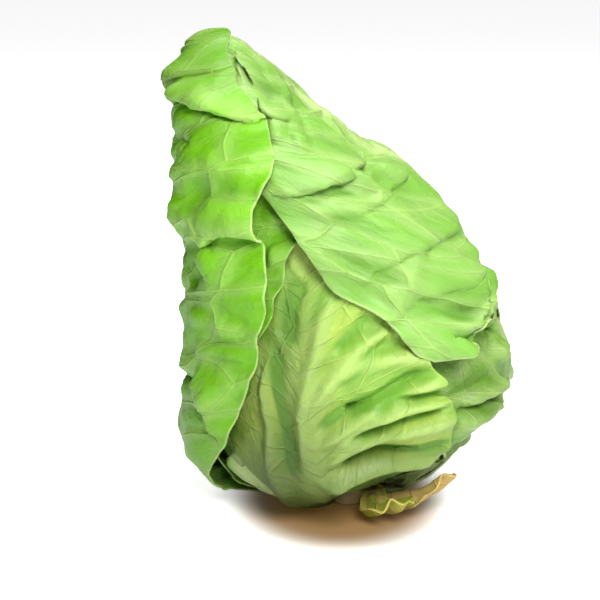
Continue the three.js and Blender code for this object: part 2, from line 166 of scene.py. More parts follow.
NETS = {
    "lower_left_under_leaf": [
        [(-84, 0, 0), (-62, 0, 0), (-40, 0, 0)],
        [(-88, 0.09, 0), (-62, 0.09, 0), (-37, 0.09, 0)],
        [(-98, 0.18, 0), (-62, 0.19, 0), (-28, 0.2, 0)],
        [(-104, 0.3, 0), (-63, 0.32, 0), (-22, 0.34, 0)],
        [(-102, 0.44, 0), (-64, 0.47, 0), (-26, 0.5, 0)],
        [(-92, 0.58, 0), (-66, 0.62, 0), (-38, 0.64, 0)],
    ],
    "right_under_leaf": [
        [(92, 0, 0), (114, 0, 0), (136, 0, 0)],
        [(88, 0.09, 0), (114, 0.09, 0), (140, 0.09, 0)],
        [(84, 0.17, 0), (114, 0.17, 0), (144, 0.17, 0)],
        [(79, 0.215, 4), (114, 0.24, 1), (148, 0.24, 1)],
        [(64, 0.24, 4), (114, 0.31, 0), (150, 0.33, 0)],
        [(48, 0.255, 2), (113, 0.38, 0), (150, 0.42, 0)],
        [(36, 0.32, 0), (112, 0.46, 0), (148, 0.5, 0)],
        [(38, 0.44, 0), (110, 0.54, 0), (142, 0.57, 0)],
        [(60, 0.56, 0), (108, 0.62, 0), (132, 0.63, 0)],
    ],
    "lower_left_leaf": [
        [(-66, 0, 0), (-42, 0, 0), (-18, 0, 0)],
        [(-72, 0.08, 0), (-42, 0.09, 0), (-14, 0.09, 0)],
        [(-92, 0.14, 0), (-46, 0.18, 0), (-6, 0.19, 0)],
        [(-112, 0.24, 0), (-52, 0.3, 0), (-2, 0.32, 0)],
        [(-116, 0.4, 0), (-58, 0.46, 0), (0, 0.48, 0)],
        [(-112, 0.58, 0), (-60, 0.62, 0), (-6, 0.64, 0)],
        [(-100, 0.72, 0), (-62, 0.78, 0), (-22, 0.78, 0)],
    ],
    "back_leaf": [
        [(150, 0, 0), (176, 0, 0), (202, 0, 0)],
        [(146, 0.09, 0), (176, 0.09, 0), (206, 0.09, 0)],
        [(130, 0.18, 2), (176, 0.2, 0), (222, 0.18, 2)],
        [(116, 0.3, 2), (176, 0.33, 0), (236, 0.3, 2)],
        [(110, 0.45, 0), (176, 0.48, 0), (242, 0.45, 1)],
        [(112, 0.6, 0), (176, 0.63, 0), (240, 0.6, 0)],
        [(120, 0.76, 0), (178, 0.8, 0), (234, 0.77, 0)],
        [(140, 0.88, 0), (180, 0.92, 0), (220, 0.89, 0)],
    ],
    "right_low_leaf": [
        [(70, 0, 0), (94, 0, 0), (118, 0, 0)],
        [(66, 0.09, 0), (94, 0.09, 0), (122, 0.09, 0)],
        [(66, 0.18, 0), (96, 0.18, 0), (126, 0.18, 0)],
        [(68, 0.235, 4), (98, 0.25, 11), (130, 0.26, 1)],
        [(56, 0.262, 3), (99, 0.32, 11), (134, 0.34, 2)],
        [(40, 0.275, 2), (99, 0.39, 7), (136, 0.42, 2)],
        [(26, 0.33, 0), (99, 0.46, 2), (136, 0.5, 0)],
        [(20, 0.43, 0), (98, 0.53, 0), (132, 0.57, 0)],
        [(26, 0.53, 0), (96, 0.6, 0), (126, 0.63, 0)],
        [(48, 0.62, 0), (94, 0.67, 0), (116, 0.68, 0)],
    ],
    "front_leaf": [
        [(-32, 0, 0), (3, 0, 0), (38, 0, 0)],
        [(-30, 0.08, 0), (3, 0.08, 0), (38, 0.08, 0)],
        [(-32, 0.155, 0), (-1, 0.155, 0), (44, 0.15, 1)],
        [(-46, 0.215, 0), (-7, 0.22, 0), (47, 0.215, 2)],
        [(-60, 0.28, 0), (-12, 0.28, 0), (44, 0.285, 2)],
        [(-70, 0.34, 0), (-16, 0.335, 0), (52, 0.33, 2)],
        [(-74, 0.41, 0), (-18, 0.385, 0), (70, 0.355, 1)],
        [(-74, 0.48, 0), (-17, 0.45, 0), (74, 0.43, 0)],
        [(-70, 0.56, 0), (-13, 0.54, 0), (64, 0.52, 0)],
        [(-60, 0.66, 0), (-9, 0.65, 0), (48, 0.63, 0)],
        [(-44, 0.78, 0), (-7, 0.78, 0), (32, 0.76, 0)],
    ],
    "left_inner_leaf": [
        [(-122, 0, 0), (-98, 0, 0), (-74, 0, 0)],
        [(-126, 0.09, 0), (-98, 0.09, 0), (-74, 0.09, 0)],
        [(-144, 0.2, 0), (-98, 0.2, 0), (-64, 0.21, 0)],
        [(-158, 0.33, 0), (-94, 0.34, 0), (-50, 0.35, 0)],
        [(-160, 0.47, 0), (-88, 0.48, 0), (-29, 0.47, 0)],
        [(-158, 0.6, 0), (-82, 0.61, 0), (-15, 0.57, 1.5)],
        [(-150, 0.73, 0), (-74, 0.74, 0), (6, 0.66, 1)],
        [(-140, 0.85, 0), (-66, 0.86, 0), (22, 0.82, 0)],
        [(-120, 0.95, 0), (-60, 0.96, 0), (10, 0.95, 0)],
    ],
    "front_stub": [
        [(18, 0, 0), (34, 0, 0), (50, 0, 0)],
        [(19, 0.05, 0), (34, 0.05, 0), (49, 0.05, 0)],
        [(20, 0.08, 3), (34, 0.085, 3), (48, 0.08, 3)],
        [(23, 0.1, 6), (35, 0.115, 5), (46, 0.1, 7)],
    ],
    "right_stub": [
        [(54, 0, 0), (66, 0, 0), (78, 0, 0)],
        [(53, 0.06, 0), (66, 0.06, 0), (79, 0.06, 0)],
        [(53, 0.11, 1.5), (66, 0.12, 1.5), (80, 0.11, 2)],
        [(55, 0.145, 4), (66, 0.165, 2.5), (77, 0.15, 5)],
    ],
    "right_leaf": [
        [(100, 0, 0), (126, 0, 0), (152, 0, 0)],
        [(102, 0.09, 0), (128, 0.09, 0), (156, 0.09, 0)],
        [(107, 0.2, 0), (130, 0.19, 0), (168, 0.2, 1)],
        [(111, 0.32, 0), (132, 0.31, 0), (182, 0.32, 1)],
        [(109, 0.42, 1), (131, 0.42, 0), (192, 0.44, 1)],
        [(96, 0.472, 1), (128, 0.5, 0), (196, 0.53, 0)],
        [(82, 0.47, 2), (122, 0.56, 1), (196, 0.59, 0)],
        [(67, 0.44, 2), (116, 0.61, 2), (196, 0.65, 0)],
        [(51, 0.405, 2), (110, 0.65, 6), (196, 0.7, 0)],
        [(26, 0.425, 2), (105, 0.69, 7), (196, 0.75, 0)],
        [(5, 0.52, 1.5), (101, 0.73, 5), (195, 0.79, 0)],
        [(-5, 0.61, 1.5), (97, 0.78, 3), (194, 0.83, 0)],
        [(-15, 0.71, 1), (93, 0.83, 2), (190, 0.87, 0)],
        [(-10, 0.81, 0), (88, 0.89, 1), (186, 0.92, 0)],
        [(26, 0.91, 2), (84, 0.95, 1), (160, 0.965, 1)],
        [(20, 0.99, 2), (90, 0.99, 2), (170, 0.99, 1)],
    ],
    "left_leaf": [
        [(-146, 0, 0), (-116, 0, 0), (-86, 0, 0)],
        [(-152, 0.08, 0), (-116, 0.08, 0), (-80, 0.075, 0)],
        [(-172, 0.17, 2), (-116, 0.17, 5), (-68, 0.14, 3)],
        [(-194, 0.27, 3), (-115, 0.29, 6), (-45, 0.24, 3)],
        [(-204, 0.4, 2), (-114, 0.42, 5), (-34, 0.36, 1.5)],
        [(-206, 0.54, 1), (-112, 0.55, 4), (-25, 0.51, 1)],
        [(-204, 0.67, 0), (-110, 0.68, 4), (-14, 0.65, 1)],
        [(-200, 0.78, 0), (-106, 0.79, 4), (4, 0.76, 1)],
        [(-196, 0.85, 0), (-102, 0.86, 4), (16, 0.84, 1)],
        [(-192, 0.9, 3), (-98, 0.91, 9), (18, 0.9, 4)],
        [(-180, 0.95, 4), (-90, 0.955, 11), (24, 0.95, 5)],
        [(-176, 0.995, 5), (-75, 1, 8), (40, 0.995, 6)],
    ],
}
INNER = {"inner_leaf_%d" % (n + 1): inner_net(40 + 137.5 * n, 0.93 + 0.005 * n) for n in range(4)}

# What each leaf has besides its net. Grid and fine count the cells along and across, coarse as packed and
# fine as shown. Foot and width are the rib's. A ruffle is (height, waves, start), a pleat is (height, folds,
# slant, start), and a tip is the depths that the leaf's end rises between, with the rises where it does so.
PLAIN = {"grid": (12, 12), "fine": (60, 48), "foot": 1.6, "width": 9, "gap": 1.3}
LEAVES = {name: dict(PLAIN, net=net) for name, net in INNER.items()}
LEAVES.update({
    "lower_left_under_leaf": {"grid": (14, 10), "fine": (110, 90), "foot": 3.2, "width": 8},
    "right_under_leaf": {"grid": (16, 12), "fine": (120, 90), "foot": 3.4, "width": 8, "gap": 1.3},
    "lower_left_leaf": {"grid": (16, 12), "fine": (140, 110), "foot": 3.4, "width": 9},
    "back_leaf": {"grid": (18, 14), "fine": (190, 150), "foot": 4.6, "width": 12, "ruffle": (0.8, 5, 0)},
    "right_low_leaf": {"grid": (20, 15), "fine": (200, 150), "foot": 4, "width": 9, "ruffle": (0.8, 6, 0.2)},
    "front_leaf": {
        "grid": (26, 17), "fine": (270, 170), "foot": 5, "width": 15,
        "crinkle": 0.5, "pleat": (1.8, 6, 0.1, 0.1),
    },
    "left_inner_leaf": {"grid": (16, 12), "fine": (150, 130), "foot": 3.4, "width": 9, "gap": 1.3},
    "front_stub": {"grid": (6, 6), "fine": (60, 60), "foot": 2.4, "width": 9},
    "right_stub": {"grid": (7, 6), "fine": (70, 60), "foot": 2.4, "width": 9},
    "right_leaf": {
        "grid": (28, 18), "fine": (270, 180), "foot": 4.6, "width": 11,
        "ruffle": (0.4, 7, 0), "tip": (2.5, 6.8, 0.95, 0.995),
    },
    "left_leaf": {
        "grid": (26, 18), "fine": (260, 184), "foot": 4.6, "width": 11,
        "ruffle": (0.6, 6, 0.3), "tip": (7, 9.8, 0.905, 0.965),
    },
})
for name, net in NETS.items():
    LEAVES[name]["net"] = net

# Shapes raised on a leaf: (kind, height, width, [(turn, rise), ...]). A ridge is round, a fold hangs over
# its lower side, and a negative height makes a furrow.
SHAPES = {
    "front_leaf": [
        ("ridge", 4.2, 3.4, [(-22, 0.1), (-24, 0.15), (-30, 0.275), (-35, 0.37), (-37, 0.46)]),
        ("ridge", -4.6, 3.6, [(-17, 0.16), (-20, 0.23), (-26, 0.295), (-29, 0.365), (-29, 0.45)]),
        ("ridge", -4, 6, [(-44, 0.3), (-46, 0.4), (-42, 0.5), (-34, 0.58)]),
        ("ridge", 4.6, 3.4, [(-11, 0.2), (-15, 0.26), (-17, 0.31), (-13, 0.395), (-8, 0.465), (2, 0.54)]),
        ("ridge", -4, 4, [(-24, 0.42), (-20, 0.5), (-10, 0.56)]),
        ("ridge", 3.2, 2.6, [(-16, 0.31), (-11, 0.34), (-1, 0.41), (13, 0.455), (24, 0.48)]),
        ("ridge", -2.6, 3, [(-8, 0.36), (2, 0.385), (12, 0.43), (22, 0.44)]),
        ("ridge", -2.6, 3, [(-6, 0.42), (4, 0.46), (12, 0.5)]),
        ("ridge", 4.6, 3.8, [(-14, 0.3), (-5, 0.37), (9, 0.41), (24, 0.415), (34, 0.39)]),
        ("ridge", -5.5, 2.8, [(-12, 0.27), (-4, 0.31), (7, 0.335), (24, 0.385), (34, 0.4)]),
        ("ridge", 5, 3.2, [(-10, 0.24), (-4, 0.27), (9, 0.32), (24, 0.365), (38, 0.375)]),
        ("ridge", -5, 2.4, [(8, 0.31), (17, 0.345), (28, 0.35), (40, 0.36)]),
        ("ridge", 4.4, 2.8, [(-4, 0.235), (1, 0.26), (16, 0.315), (27, 0.335), (40, 0.34)]),
        ("ridge", -5, 2.2, [(0, 0.26), (16, 0.295), (28, 0.315), (38, 0.33)]),
        ("ridge", 5.2, 3.4, [(-4, 0.2), (2, 0.235), (19, 0.28), (29, 0.295), (42, 0.31)]),
        ("ridge", -6, 2.8, [(0, 0.2), (10, 0.22), (20, 0.235), (34, 0.25), (46, 0.26)]),
        ("ridge", 8, 4.2, [(-6, 0.16), (5, 0.18), (20, 0.195), (34, 0.21), (50, 0.22)]),
        ("ridge", -3, 3.5, [(-6, 0.11), (10, 0.135), (24, 0.15), (38, 0.16), (50, 0.17)]),
    ],
    "left_leaf": [
        ("fold", 5, 8, [
            (-96, 0.83), (-80, 0.86), (-66, 0.87), (-43, 0.865), (-18, 0.845), (-4, 0.825), (16, 0.81),
        ]),
        ("fold", 5, 7, [(-64, 0.58), (-54, 0.595), (-43, 0.62), (-33, 0.63), (-23, 0.625), (-8, 0.61)]),
        ("ridge", -4, 4, [(-72, 0.5), (-60, 0.53), (-50, 0.545)]),
        ("ridge", 2.5, 5, [(-66, 0.545), (-56, 0.56), (-44, 0.58)]),
        ("fold", 4, 7, [(-90, 0.335), (-70, 0.35), (-62, 0.35), (-56, 0.33), (-50, 0.29), (-44, 0.24)]),
        ("ridge", 3, 5, [(-82, 0.6), (-66, 0.62), (-50, 0.61)]),
        ("ridge", -3.4, 7, [(-88, 0.55), (-68, 0.56), (-54, 0.55)]),
        ("ridge", -4, 4, [(-94, 0.34), (-74, 0.34), (-60, 0.345)]),
        ("ridge", -2.4, 3, [(-76, 0.76), (-60, 0.775), (-40, 0.77)]),
        ("ridge", 2, 4, [(-80, 0.7), (-60, 0.71), (-36, 0.735), (-16, 0.74)]),
        ("ridge", 2, 3, [(-70, 0.45), (-54, 0.455), (-36, 0.45)]),
        ("ridge", 2, 3, [(-66, 0.4), (-50, 0.4), (-36, 0.41)]),
        ("fold", 2.4, 4, [(-92, 0.9), (-60, 0.905), (-40, 0.91), (-22, 0.915), (4, 0.91)]),
    ],
    "right_leaf": [
        ("fold", 4, 5, [
            (-14, 0.69), (-2, 0.695), (10, 0.7), (22, 0.71), (33, 0.73), (46, 0.74), (62, 0.75), (76, 0.76),
        ]),
        ("fold", 4, 5, [
            (30, 0.985), (21, 0.94), (14, 0.92), (8, 0.89), (7, 0.875), (14, 0.855), (24, 0.835), (36, 0.82),
        ]),
        ("ridge", -2.2, 2.4, [(60, 0.965), (48, 0.945), (39, 0.91), (32, 0.88), (26, 0.86), (24, 0.84)]),
        ("ridge", -2.6, 2.6, [(90, 0.925), (81, 0.91), (69, 0.885), (52, 0.85), (33, 0.795), (21, 0.735)]),
        ("ridge", 2, 3, [(76, 0.92), (58, 0.875), (42, 0.83), (28, 0.79), (16, 0.735)]),
        ("ridge", 1.8, 3, [(20, 0.83), (14, 0.8), (8, 0.77)]),
        ("ridge", -1.8, 3, [(0, 0.8), (14, 0.79), (22, 0.775)]),
        ("fold", 1.3, 5, [(-4, 0.6), (0, 0.61), (13, 0.655), (28, 0.66), (54, 0.685), (90, 0.705)]),
        ("ridge", 1.6, 2.2, [(28, 0.665), (40, 0.7), (56, 0.715), (84, 0.72)]),
        ("fold", 1.5, 5, [(2, 0.5), (7, 0.53), (22, 0.57), (46, 0.595), (75, 0.605), (110, 0.62)]),
        ("fold", 1.4, 5, [(4, 0.45), (14, 0.48), (27, 0.51), (44, 0.525), (59, 0.525), (90, 0.55)]),
        ("ridge", 1.8, 2.4, [(0, 0.655), (12, 0.66), (24, 0.655), (34, 0.63), (40, 0.6)]),
        ("ridge", 1.8, 2.4, [(18, 0.5), (30, 0.54), (38, 0.57), (44, 0.6)]),
        ("ridge", 3, 6, [(66, 0.8), (84, 0.805), (104, 0.8)]),
        ("ridge", 3, 6, [(66, 0.7), (84, 0.705), (104, 0.7)]),
        ("ridge", -3.5, 3, [(36, 0.45), (44, 0.425), (50, 0.4)]),
        ("ridge", 4, 2.4, [(36, 0.445), (45, 0.455), (56, 0.465), (68, 0.48)]),
        ("ridge", -4, 2, [(40, 0.43), (48, 0.435), (58, 0.445), (66, 0.46)]),
    ],
    "front_stub": [
        ("ridge", 3, 2.2, [(24, 0.03), (25, 0.08), (27, 0.15)]),
        ("ridge", -2.5, 1.8, [(31, 0.05), (31, 0.1), (32, 0.16)]),
        ("ridge", 3, 2.2, [(38, 0.03), (38, 0.08), (37, 0.15)]),
        ("ridge", 2.5, 2, [(46, 0.03), (45, 0.08), (45, 0.15)]),
    ],
    "right_stub": [
        ("ridge", 2.5, 2.2, [(51, 0.06), (52, 0.12), (54, 0.2)]),
        ("ridge", -2, 1.8, [(57, 0.06), (57, 0.12), (58, 0.2)]),
        ("ridge", 2.5, 2.2, [(62, 0.06), (62, 0.12), (62, 0.2)]),
    ],
    "left_inner_leaf": [
        ("ridge", 3, 6, [(-34, 0.56), (-18, 0.58), (-8, 0.6), (4, 0.61)]),
    ],
    "right_low_leaf": [
        ("ridge", 3, 4, [(60, 0.45), (84, 0.435), (120, 0.44)]),
        ("ridge", -3.5, 3, [(60, 0.42), (84, 0.415), (120, 0.42)]),
        ("ridge", 4.6, 3, [
            (30, 0.335), (37, 0.345), (42, 0.36), (49, 0.37), (58, 0.38), (72, 0.375), (90, 0.37),
        ]),
        ("ridge", -4.4, 2.6, [(34, 0.325), (39, 0.33), (47, 0.34), (56, 0.35), (68, 0.35)]),
        ("ridge", 4.4, 3, [(34, 0.31), (39, 0.32), (45, 0.325), (63, 0.32), (84, 0.32)]),
        ("ridge", -4, 2.4, [(36, 0.3), (44, 0.305), (61, 0.305), (78, 0.3)]),
        ("ridge", 3.5, 3, [(38, 0.285), (50, 0.285), (66, 0.28), (84, 0.28)]),
        ("ridge", -3, 3, [(36, 0.39), (50, 0.395), (62, 0.4)]),
    ],
}
MARGIN_WOBBLE = 0.03  # how far a margin strays, as a share of the leaf's half width
TIP_CLOSE = 0.05  # what is left of the opening at the end of a leaf with a tip
# Rows of the nets that are shown a little otherwise than they are packed, by the row's number.
SHOWN = {
    "left_leaf": {
        5: [(-206, 0.54, 1), (-112, 0.55, 2), (-25, 0.51, 1)],
        6: [(-204, 0.67, 0), (-110, 0.68, 0), (-14, 0.65, 1)],
        7: [(-200, 0.78, 0), (-106, 0.79, 0), (8, 0.78, 1)],
        8: [(-196, 0.85, 0), (-102, 0.86, 4), (6, 0.85, 1)],
        9: [(-192, 0.9, 3), (-98, 0.91, 9), (3, 0.905, 3)],
        10: [(-188, 0.95, 3), (-90, 0.955, 10), (8, 0.955, 4)],
        11: [(-200, 1, 3), (-75, 1, 6), (50, 1, 4)],
    },
    "right_leaf": {
        5: [(100, 0.5, 1), (128, 0.5, 0), (196, 0.53, 0)],
        6: [(80, 0.505, 2), (122, 0.56, 1), (196, 0.59, 0)],
        7: [(55, 0.465, 2), (116, 0.61, 2), (196, 0.65, 0)],
        8: [(40, 0.4, 2), (110, 0.65, 6), (196, 0.7, 0)],
        9: [(22, 0.43, 2), (105, 0.69, 7), (196, 0.75, 0)],
        13: [(-12, 0.81, 0), (88, 0.89, 1), (186, 0.92, 0)],
        14: [(-8, 0.91, 0), (84, 0.95, 1), (186, 0.96, 1)],
        15: [(-4, 1, 0), (84, 1, 0), (190, 1, 0)],
    },
    "left_inner_leaf": {
        7: [(-140, 0.82, 0), (-66, 0.83, 0), (22, 0.8, 0)],
        8: [(-120, 0.9, 0), (-60, 0.91, 0), (10, 0.9, 0)],
    },
    "front_leaf": {
        2: [(-32, 0.155, 0), (-1, 0.155, 0), (45, 0.15, 0)],
        3: [(-46, 0.215, 0), (-7, 0.22, 0), (47, 0.22, 1)],
        4: [(-60, 0.28, 0), (-12, 0.28, 0), (42, 0.28, 1.5)],
        5: [(-70, 0.34, 0), (-16, 0.335, 0), (37, 0.33, 2)],
        6: [(-74, 0.41, 0), (-18, 0.385, 0), (31, 0.38, 2)],
        7: [(-74, 0.48, 0), (-17, 0.45, 0), (24, 0.44, 1)],
        8: [(-70, 0.56, 0), (-13, 0.54, 0), (24, 0.52, 0)],
        9: [(-60, 0.66, 0), (-9, 0.65, 0), (24, 0.63, 0)],
    },
    "right_low_leaf": {
        3: [(52, 0.215, 0), (98, 0.25, 1), (130, 0.26, 1)],
        4: [(40, 0.245, 0), (99, 0.32, 12), (134, 0.34, 2)],
        5: [(28, 0.275, 0), (99, 0.39, 9), (136, 0.42, 2)],
        6: [(22, 0.33, 1), (99, 0.46, 3), (136, 0.5, 0)],
    },
    "right_under_leaf": {
        3: [(62, 0.205, 0), (114, 0.24, 1), (148, 0.24, 1)],
        4: [(50, 0.235, 0), (114, 0.31, 0), (150, 0.33, 0)],
    },
    "right_stub": {
        0: [(46, 0, 0), (56, 0, 0), (66, 0, 0)],
        1: [(46, 0.06, 0), (56, 0.06, 0), (66, 0.06, 0)],
        2: [(48, 0.1, 0), (57, 0.105, 1), (66, 0.1, 0)],
        3: [(49, 0.14, 1), (60, 0.18, 2), (68, 0.155, 1)],
    },
    "front_stub": {
        2: [(20, 0.08, 5), (34, 0.085, 6), (48, 0.08, 5)],
        3: [(22, 0.12, 7), (35, 0.14, 9), (50, 0.125, 7)],
    },
}
# How veins bend away from level, (slope, bend) left and right of the rib.
PLAIN_DRIFT = ((0.7, 0.003), (0.7, 0.003))
DRIFT = {
    "left_leaf": ((0.5, 0.002), (0.5, 0.002)),
    "right_leaf": ((0.0, -0.0023), (0.4, 0.002)),
}


def lattice_noise(x, y, scale, seed):
    """Smooth noise from -1 to 1 over a plane, with features about one scale across."""
    size = 64
    table = np.random.default_rng(seed).uniform(-1, 1, (size, size))
    x, y = x / scale, y / scale
    i, j = np.floor(x).astype(int), np.floor(y).astype(int)
    a, b = x - i, y - j
    a, b = a * a * (3 - 2 * a), b * b * (3 - 2 * b)
    i, j, i1, j1 = i % size, j % size, (i + 1) % size, (j + 1) % size
    low = table[j, i] * (1 - a) + table[j, i1] * a
    high = table[j1, i] * (1 - a) + table[j1, i1] * a
    return low * (1 - b) + high * b


def resample(values, rows, columns):
    """A grid of values at fractional rows and columns, smooth in both directions."""
    down = spline(values, rows / (values.shape[0] - 1))
    return spline(down.T, columns / (values.shape[1] - 1)).T


class Cover:
    """A map over turn and rise of the outermost depth that is covered so far."""

    def __init__(self, depth, turn_step, rise_step):
        self.turn_step, self.rise_step = turn_step, rise_step
        self.depths = np.full((round(1 / rise_step) + 1, round(360 / turn_step)), float(depth))

    def cells(self, turn, rise):
        i = np.floor(turn / self.turn_step + 0.5).astype(int) % self.depths.shape[1]
        j = np.clip(np.floor(rise / self.rise_step + 0.5).astype(int), 0, self.depths.shape[0] - 1)
        return j, i

    def raise_to(self, turn, rise, depth):
        j, i = self.cells(turn, rise)
        np.maximum.at(self.depths, (j, i), depth)

    def near(self, turn, rise, cells_round, cells_up):
        most = self.depths
        for _ in range(cells_up):
            up, down = np.vstack([most[1:], most[-1:]]), np.vstack([most[:1], most[:-1]])
            most = np.maximum(most, np.maximum(up, down))
        for _ in range(cells_round):
            most = np.maximum(most, np.maximum(np.roll(most, 1, 1), np.roll(most, -1, 1)))
        return most[self.cells(turn, rise)]


def net_at(leaf, u, v, wobble=0.0, changed=None):
    """The turn, rise and lift of a leaf's net, and its rib's turn, at shares u along and v across."""
    rows = [(changed or {}).get(k, row) for k, row in enumerate(leaf["net"])]
    left, rib, right = (spline([row[side] for row in rows], u) for side in range(3))
    waves = lattice_noise(u[:, None] * 22, np.sign(v)[None] * 9, 1.0, 5)
    margin = smoothstep(np.abs(v), 0.5, 1)[None] * smoothstep(u, 0, 0.2)[:, None]
    v = (v[None] * (1 + wobble * waves * margin))[..., None]
    at = rib[:, None] + (right - left)[:, None] * v / 2 + ((left + right) / 2 - rib)[:, None] * v * v
    return at[..., 0], np.clip(at[..., 1], 0, 1), np.maximum(at[..., 2], 0), rib[:, :1]


def blade_thickness(leaf, u, across):
    width = leaf["width"] * (1.25 - 0.95 * smoothstep(u, 0, 0.6))
    swell = np.exp(-((across / width) ** 2))
    return BLADE + leaf["foot"] * swell * (1 - 0.85 * smoothstep(u, 0.03, 0.55))


def wave_lift(leaf, u, v):
    """How far a leaf's ruffled margins and packed pleats stand up."""
    height, waves, start = leaf.get("ruffle", (0, 5, 0))
    phase = 2 * np.pi * (waves * u + start) + np.where(v > 0, 2, 0)
    lift = height * np.abs(v) ** 3 * smoothstep(u, 0.1, 0.35) * (1 + np.sin(phase))
    height, folds, slant, start = leaf.get("pleat", (0, 5, 0, 0))
    middle = smoothstep(u, 0.08, 0.22) * (1 - smoothstep(u, 0.62, 0.85))
    wave = 1 + np.sin(2 * np.pi * (folds * (u - slant * v) + start))
    return lift + height * smoothstep(v, 0.05, 0.7) * middle * wave * (v > 0)


def rest_depths(cover, leaf):
    """Lays a leaf on what the map holds, on its coarse grid, and adds it to the map. Returns its depths."""
    along, across = leaf["grid"]
    u, v = np.linspace(0, 1, along + 1), np.linspace(-1, 1, across + 1)
    turn, rise, lift, rib_turn = net_at(leaf, u, v)
    floor = cover.near(turn, rise, 4, 3) + leaf.get("gap", 0.9)
    depth = floor.copy()
    count = np.full(depth.shape, 4.0)
    count[[0, -1]] -= 1
    count[:, [0, -1]] -= 1
    for _ in range(6):
        around = np.zeros_like(depth)
        around[1:] += depth[:-1]
        around[:-1] += depth[1:]
        around[:, 1:] += depth[:, :-1]
        around[:, :-1] += depth[:, 1:]
        depth = np.maximum(floor, (depth + around / count) / 2)
    thickness = blade_thickness(leaf, u[:, None], np.radians(turn - rib_turn) * radius_at(rise))
    outer = depth + lift + wave_lift(leaf, u[:, None], v[None]) + thickness
    rows, columns = np.linspace(0, along, along * 6 + 1), np.linspace(0, across, across * 6 + 1)
    finer = [linear_resample(grid, rows, columns) for grid in (turn, rise, outer)]
    cover.raise_to(*finer)
    return depth


def linear_resample(values, rows, columns):
    i = np.minimum(rows.astype(int), values.shape[0] - 2)
    down = values[i] + (values[i + 1] - values[i]) * (rows - i)[:, None]
    j = np.minimum(columns.astype(int), values.shape[1] - 2)
    return down[:, j] + (down[:, j + 1] - down[:, j]) * (columns - j)


def along_path(turn, rise, path):
    """Distance to a path (positive on its left side), share of the way along it, and its right normal."""
    path = spline(path, np.linspace(0, 1, 6 * len(path)))
    scale = np.radians(1) * radius_at(rise)
    best = np.full(turn.shape, 1e9)
    side, share = np.zeros(turn.shape), np.zeros(turn.shape)
    normal_x, normal_y = np.zeros(turn.shape), np.zeros(turn.shape)
    lengths = np.hypot(np.radians(np.diff(path[:, 0])) * 50, np.diff(path[:, 1]) * PROFILE_LENGTH)
    starts = np.concatenate([[0], np.cumsum(lengths)])
    for k in range(len(path) - 1):
        ax, ay = (path[k, 0] - turn) * scale, (path[k, 1] - rise) * PROFILE_LENGTH
        bx, by = (path[k + 1, 0] - turn) * scale, (path[k + 1, 1] - rise) * PROFILE_LENGTH
        dx, dy = bx - ax, by - ay
        t = np.clip(-(ax * dx + ay * dy) / (dx * dx + dy * dy + 1e-9), 0, 1)
        d = np.hypot(ax + t * dx, ay + t * dy)
        nearer = d < best
        best = np.where(nearer, d, best)
        side = np.where(nearer, np.sign(ax * dy - ay * dx), side)
        share = np.where(nearer, (starts[k] + t * lengths[k]) / starts[-1], share)
        length = np.hypot(dx, dy) + 1e-9
        normal_x = np.where(nearer, dy / length, normal_x)
        normal_y = np.where(nearer, -dx / length, normal_y)
    return best * side, share, normal_x, normal_y


def shape_leaf(name, turn, rise):
    """How high a leaf's folds and ridges raise it, and how far the folds' lips slide down."""
    height, slide_x, slide_y = (np.zeros(turn.shape) for _ in range(3))
    for kind, tall, wide, path in SHAPES.get(name, []):
        d, share, normal_x, normal_y = along_path(turn, rise, path)
        taper = smoothstep(share, 0, 0.22) * (1 - smoothstep(share, 0.78, 1))
        if kind == "ridge":
            height += tall * taper * np.exp(-((d / wide) ** 2))
        else:
            lip = smoothstep(d, -3.2, -0.6) * np.exp(-((np.maximum(d, 0) / wide) ** 2))
            below = np.exp(-(((d + 4.5) / 2.5) ** 2))
            height += tall * taper * (lip - 0.3 * below)
            reach_back = np.exp(-((np.maximum(d, 0) / (0.8 * wide)) ** 2))
            hang = 0.8 * tall * taper * smoothstep(d, -3, -0.8) * reach_back
            slide_x += hang * normal_x
            slide_y += hang * normal_y
    return height, slide_x, slide_y


def hidden_share(names):
    """For each leaf, a map of how deep its places lie under later leaves, from 0 in the open to 1."""
    later = np.zeros((201, 360))
    shares = {}
    for name in reversed(names):
        soft = later.copy()
        for _ in range(10):
            soft = (soft + np.roll(soft, 1, 1) + np.roll(soft, -1, 1)) / 3
            soft = (soft + np.vstack([soft[1:], soft[-1:]]) + np.vstack([soft[:1], soft[:-1]])) / 3
        shares[name] = soft
        own = Cover(0, 1, 0.005)
        leaf = LEAVES[name]
        turn, rise, _, _ = net_at(leaf, np.linspace(0, 1, 400), np.linspace(-1, 1, 400))
        own.raise_to(turn, rise, np.ones(turn.shape))
        later = np.maximum(later, own.depths)
    return shares


def crinkles(flat, seed):
    """The swells and sharp creases of a leaf's blade, in millimetres, along its veins."""
    x, y = flat[..., 0], flat[..., 1]
    broad = 2.0 * lattice_noise(x, y, 3.6, seed)
    sharp = 1.3 * (0.35 - np.abs(lattice_noise(x, y * 1.5, 2.7, seed + 40))) * 2
    small = 0.9 * (0.35 - np.abs(lattice_noise(x, y * 1.3, 1.3, seed + 50))) * 2
    return broad + sharp + small


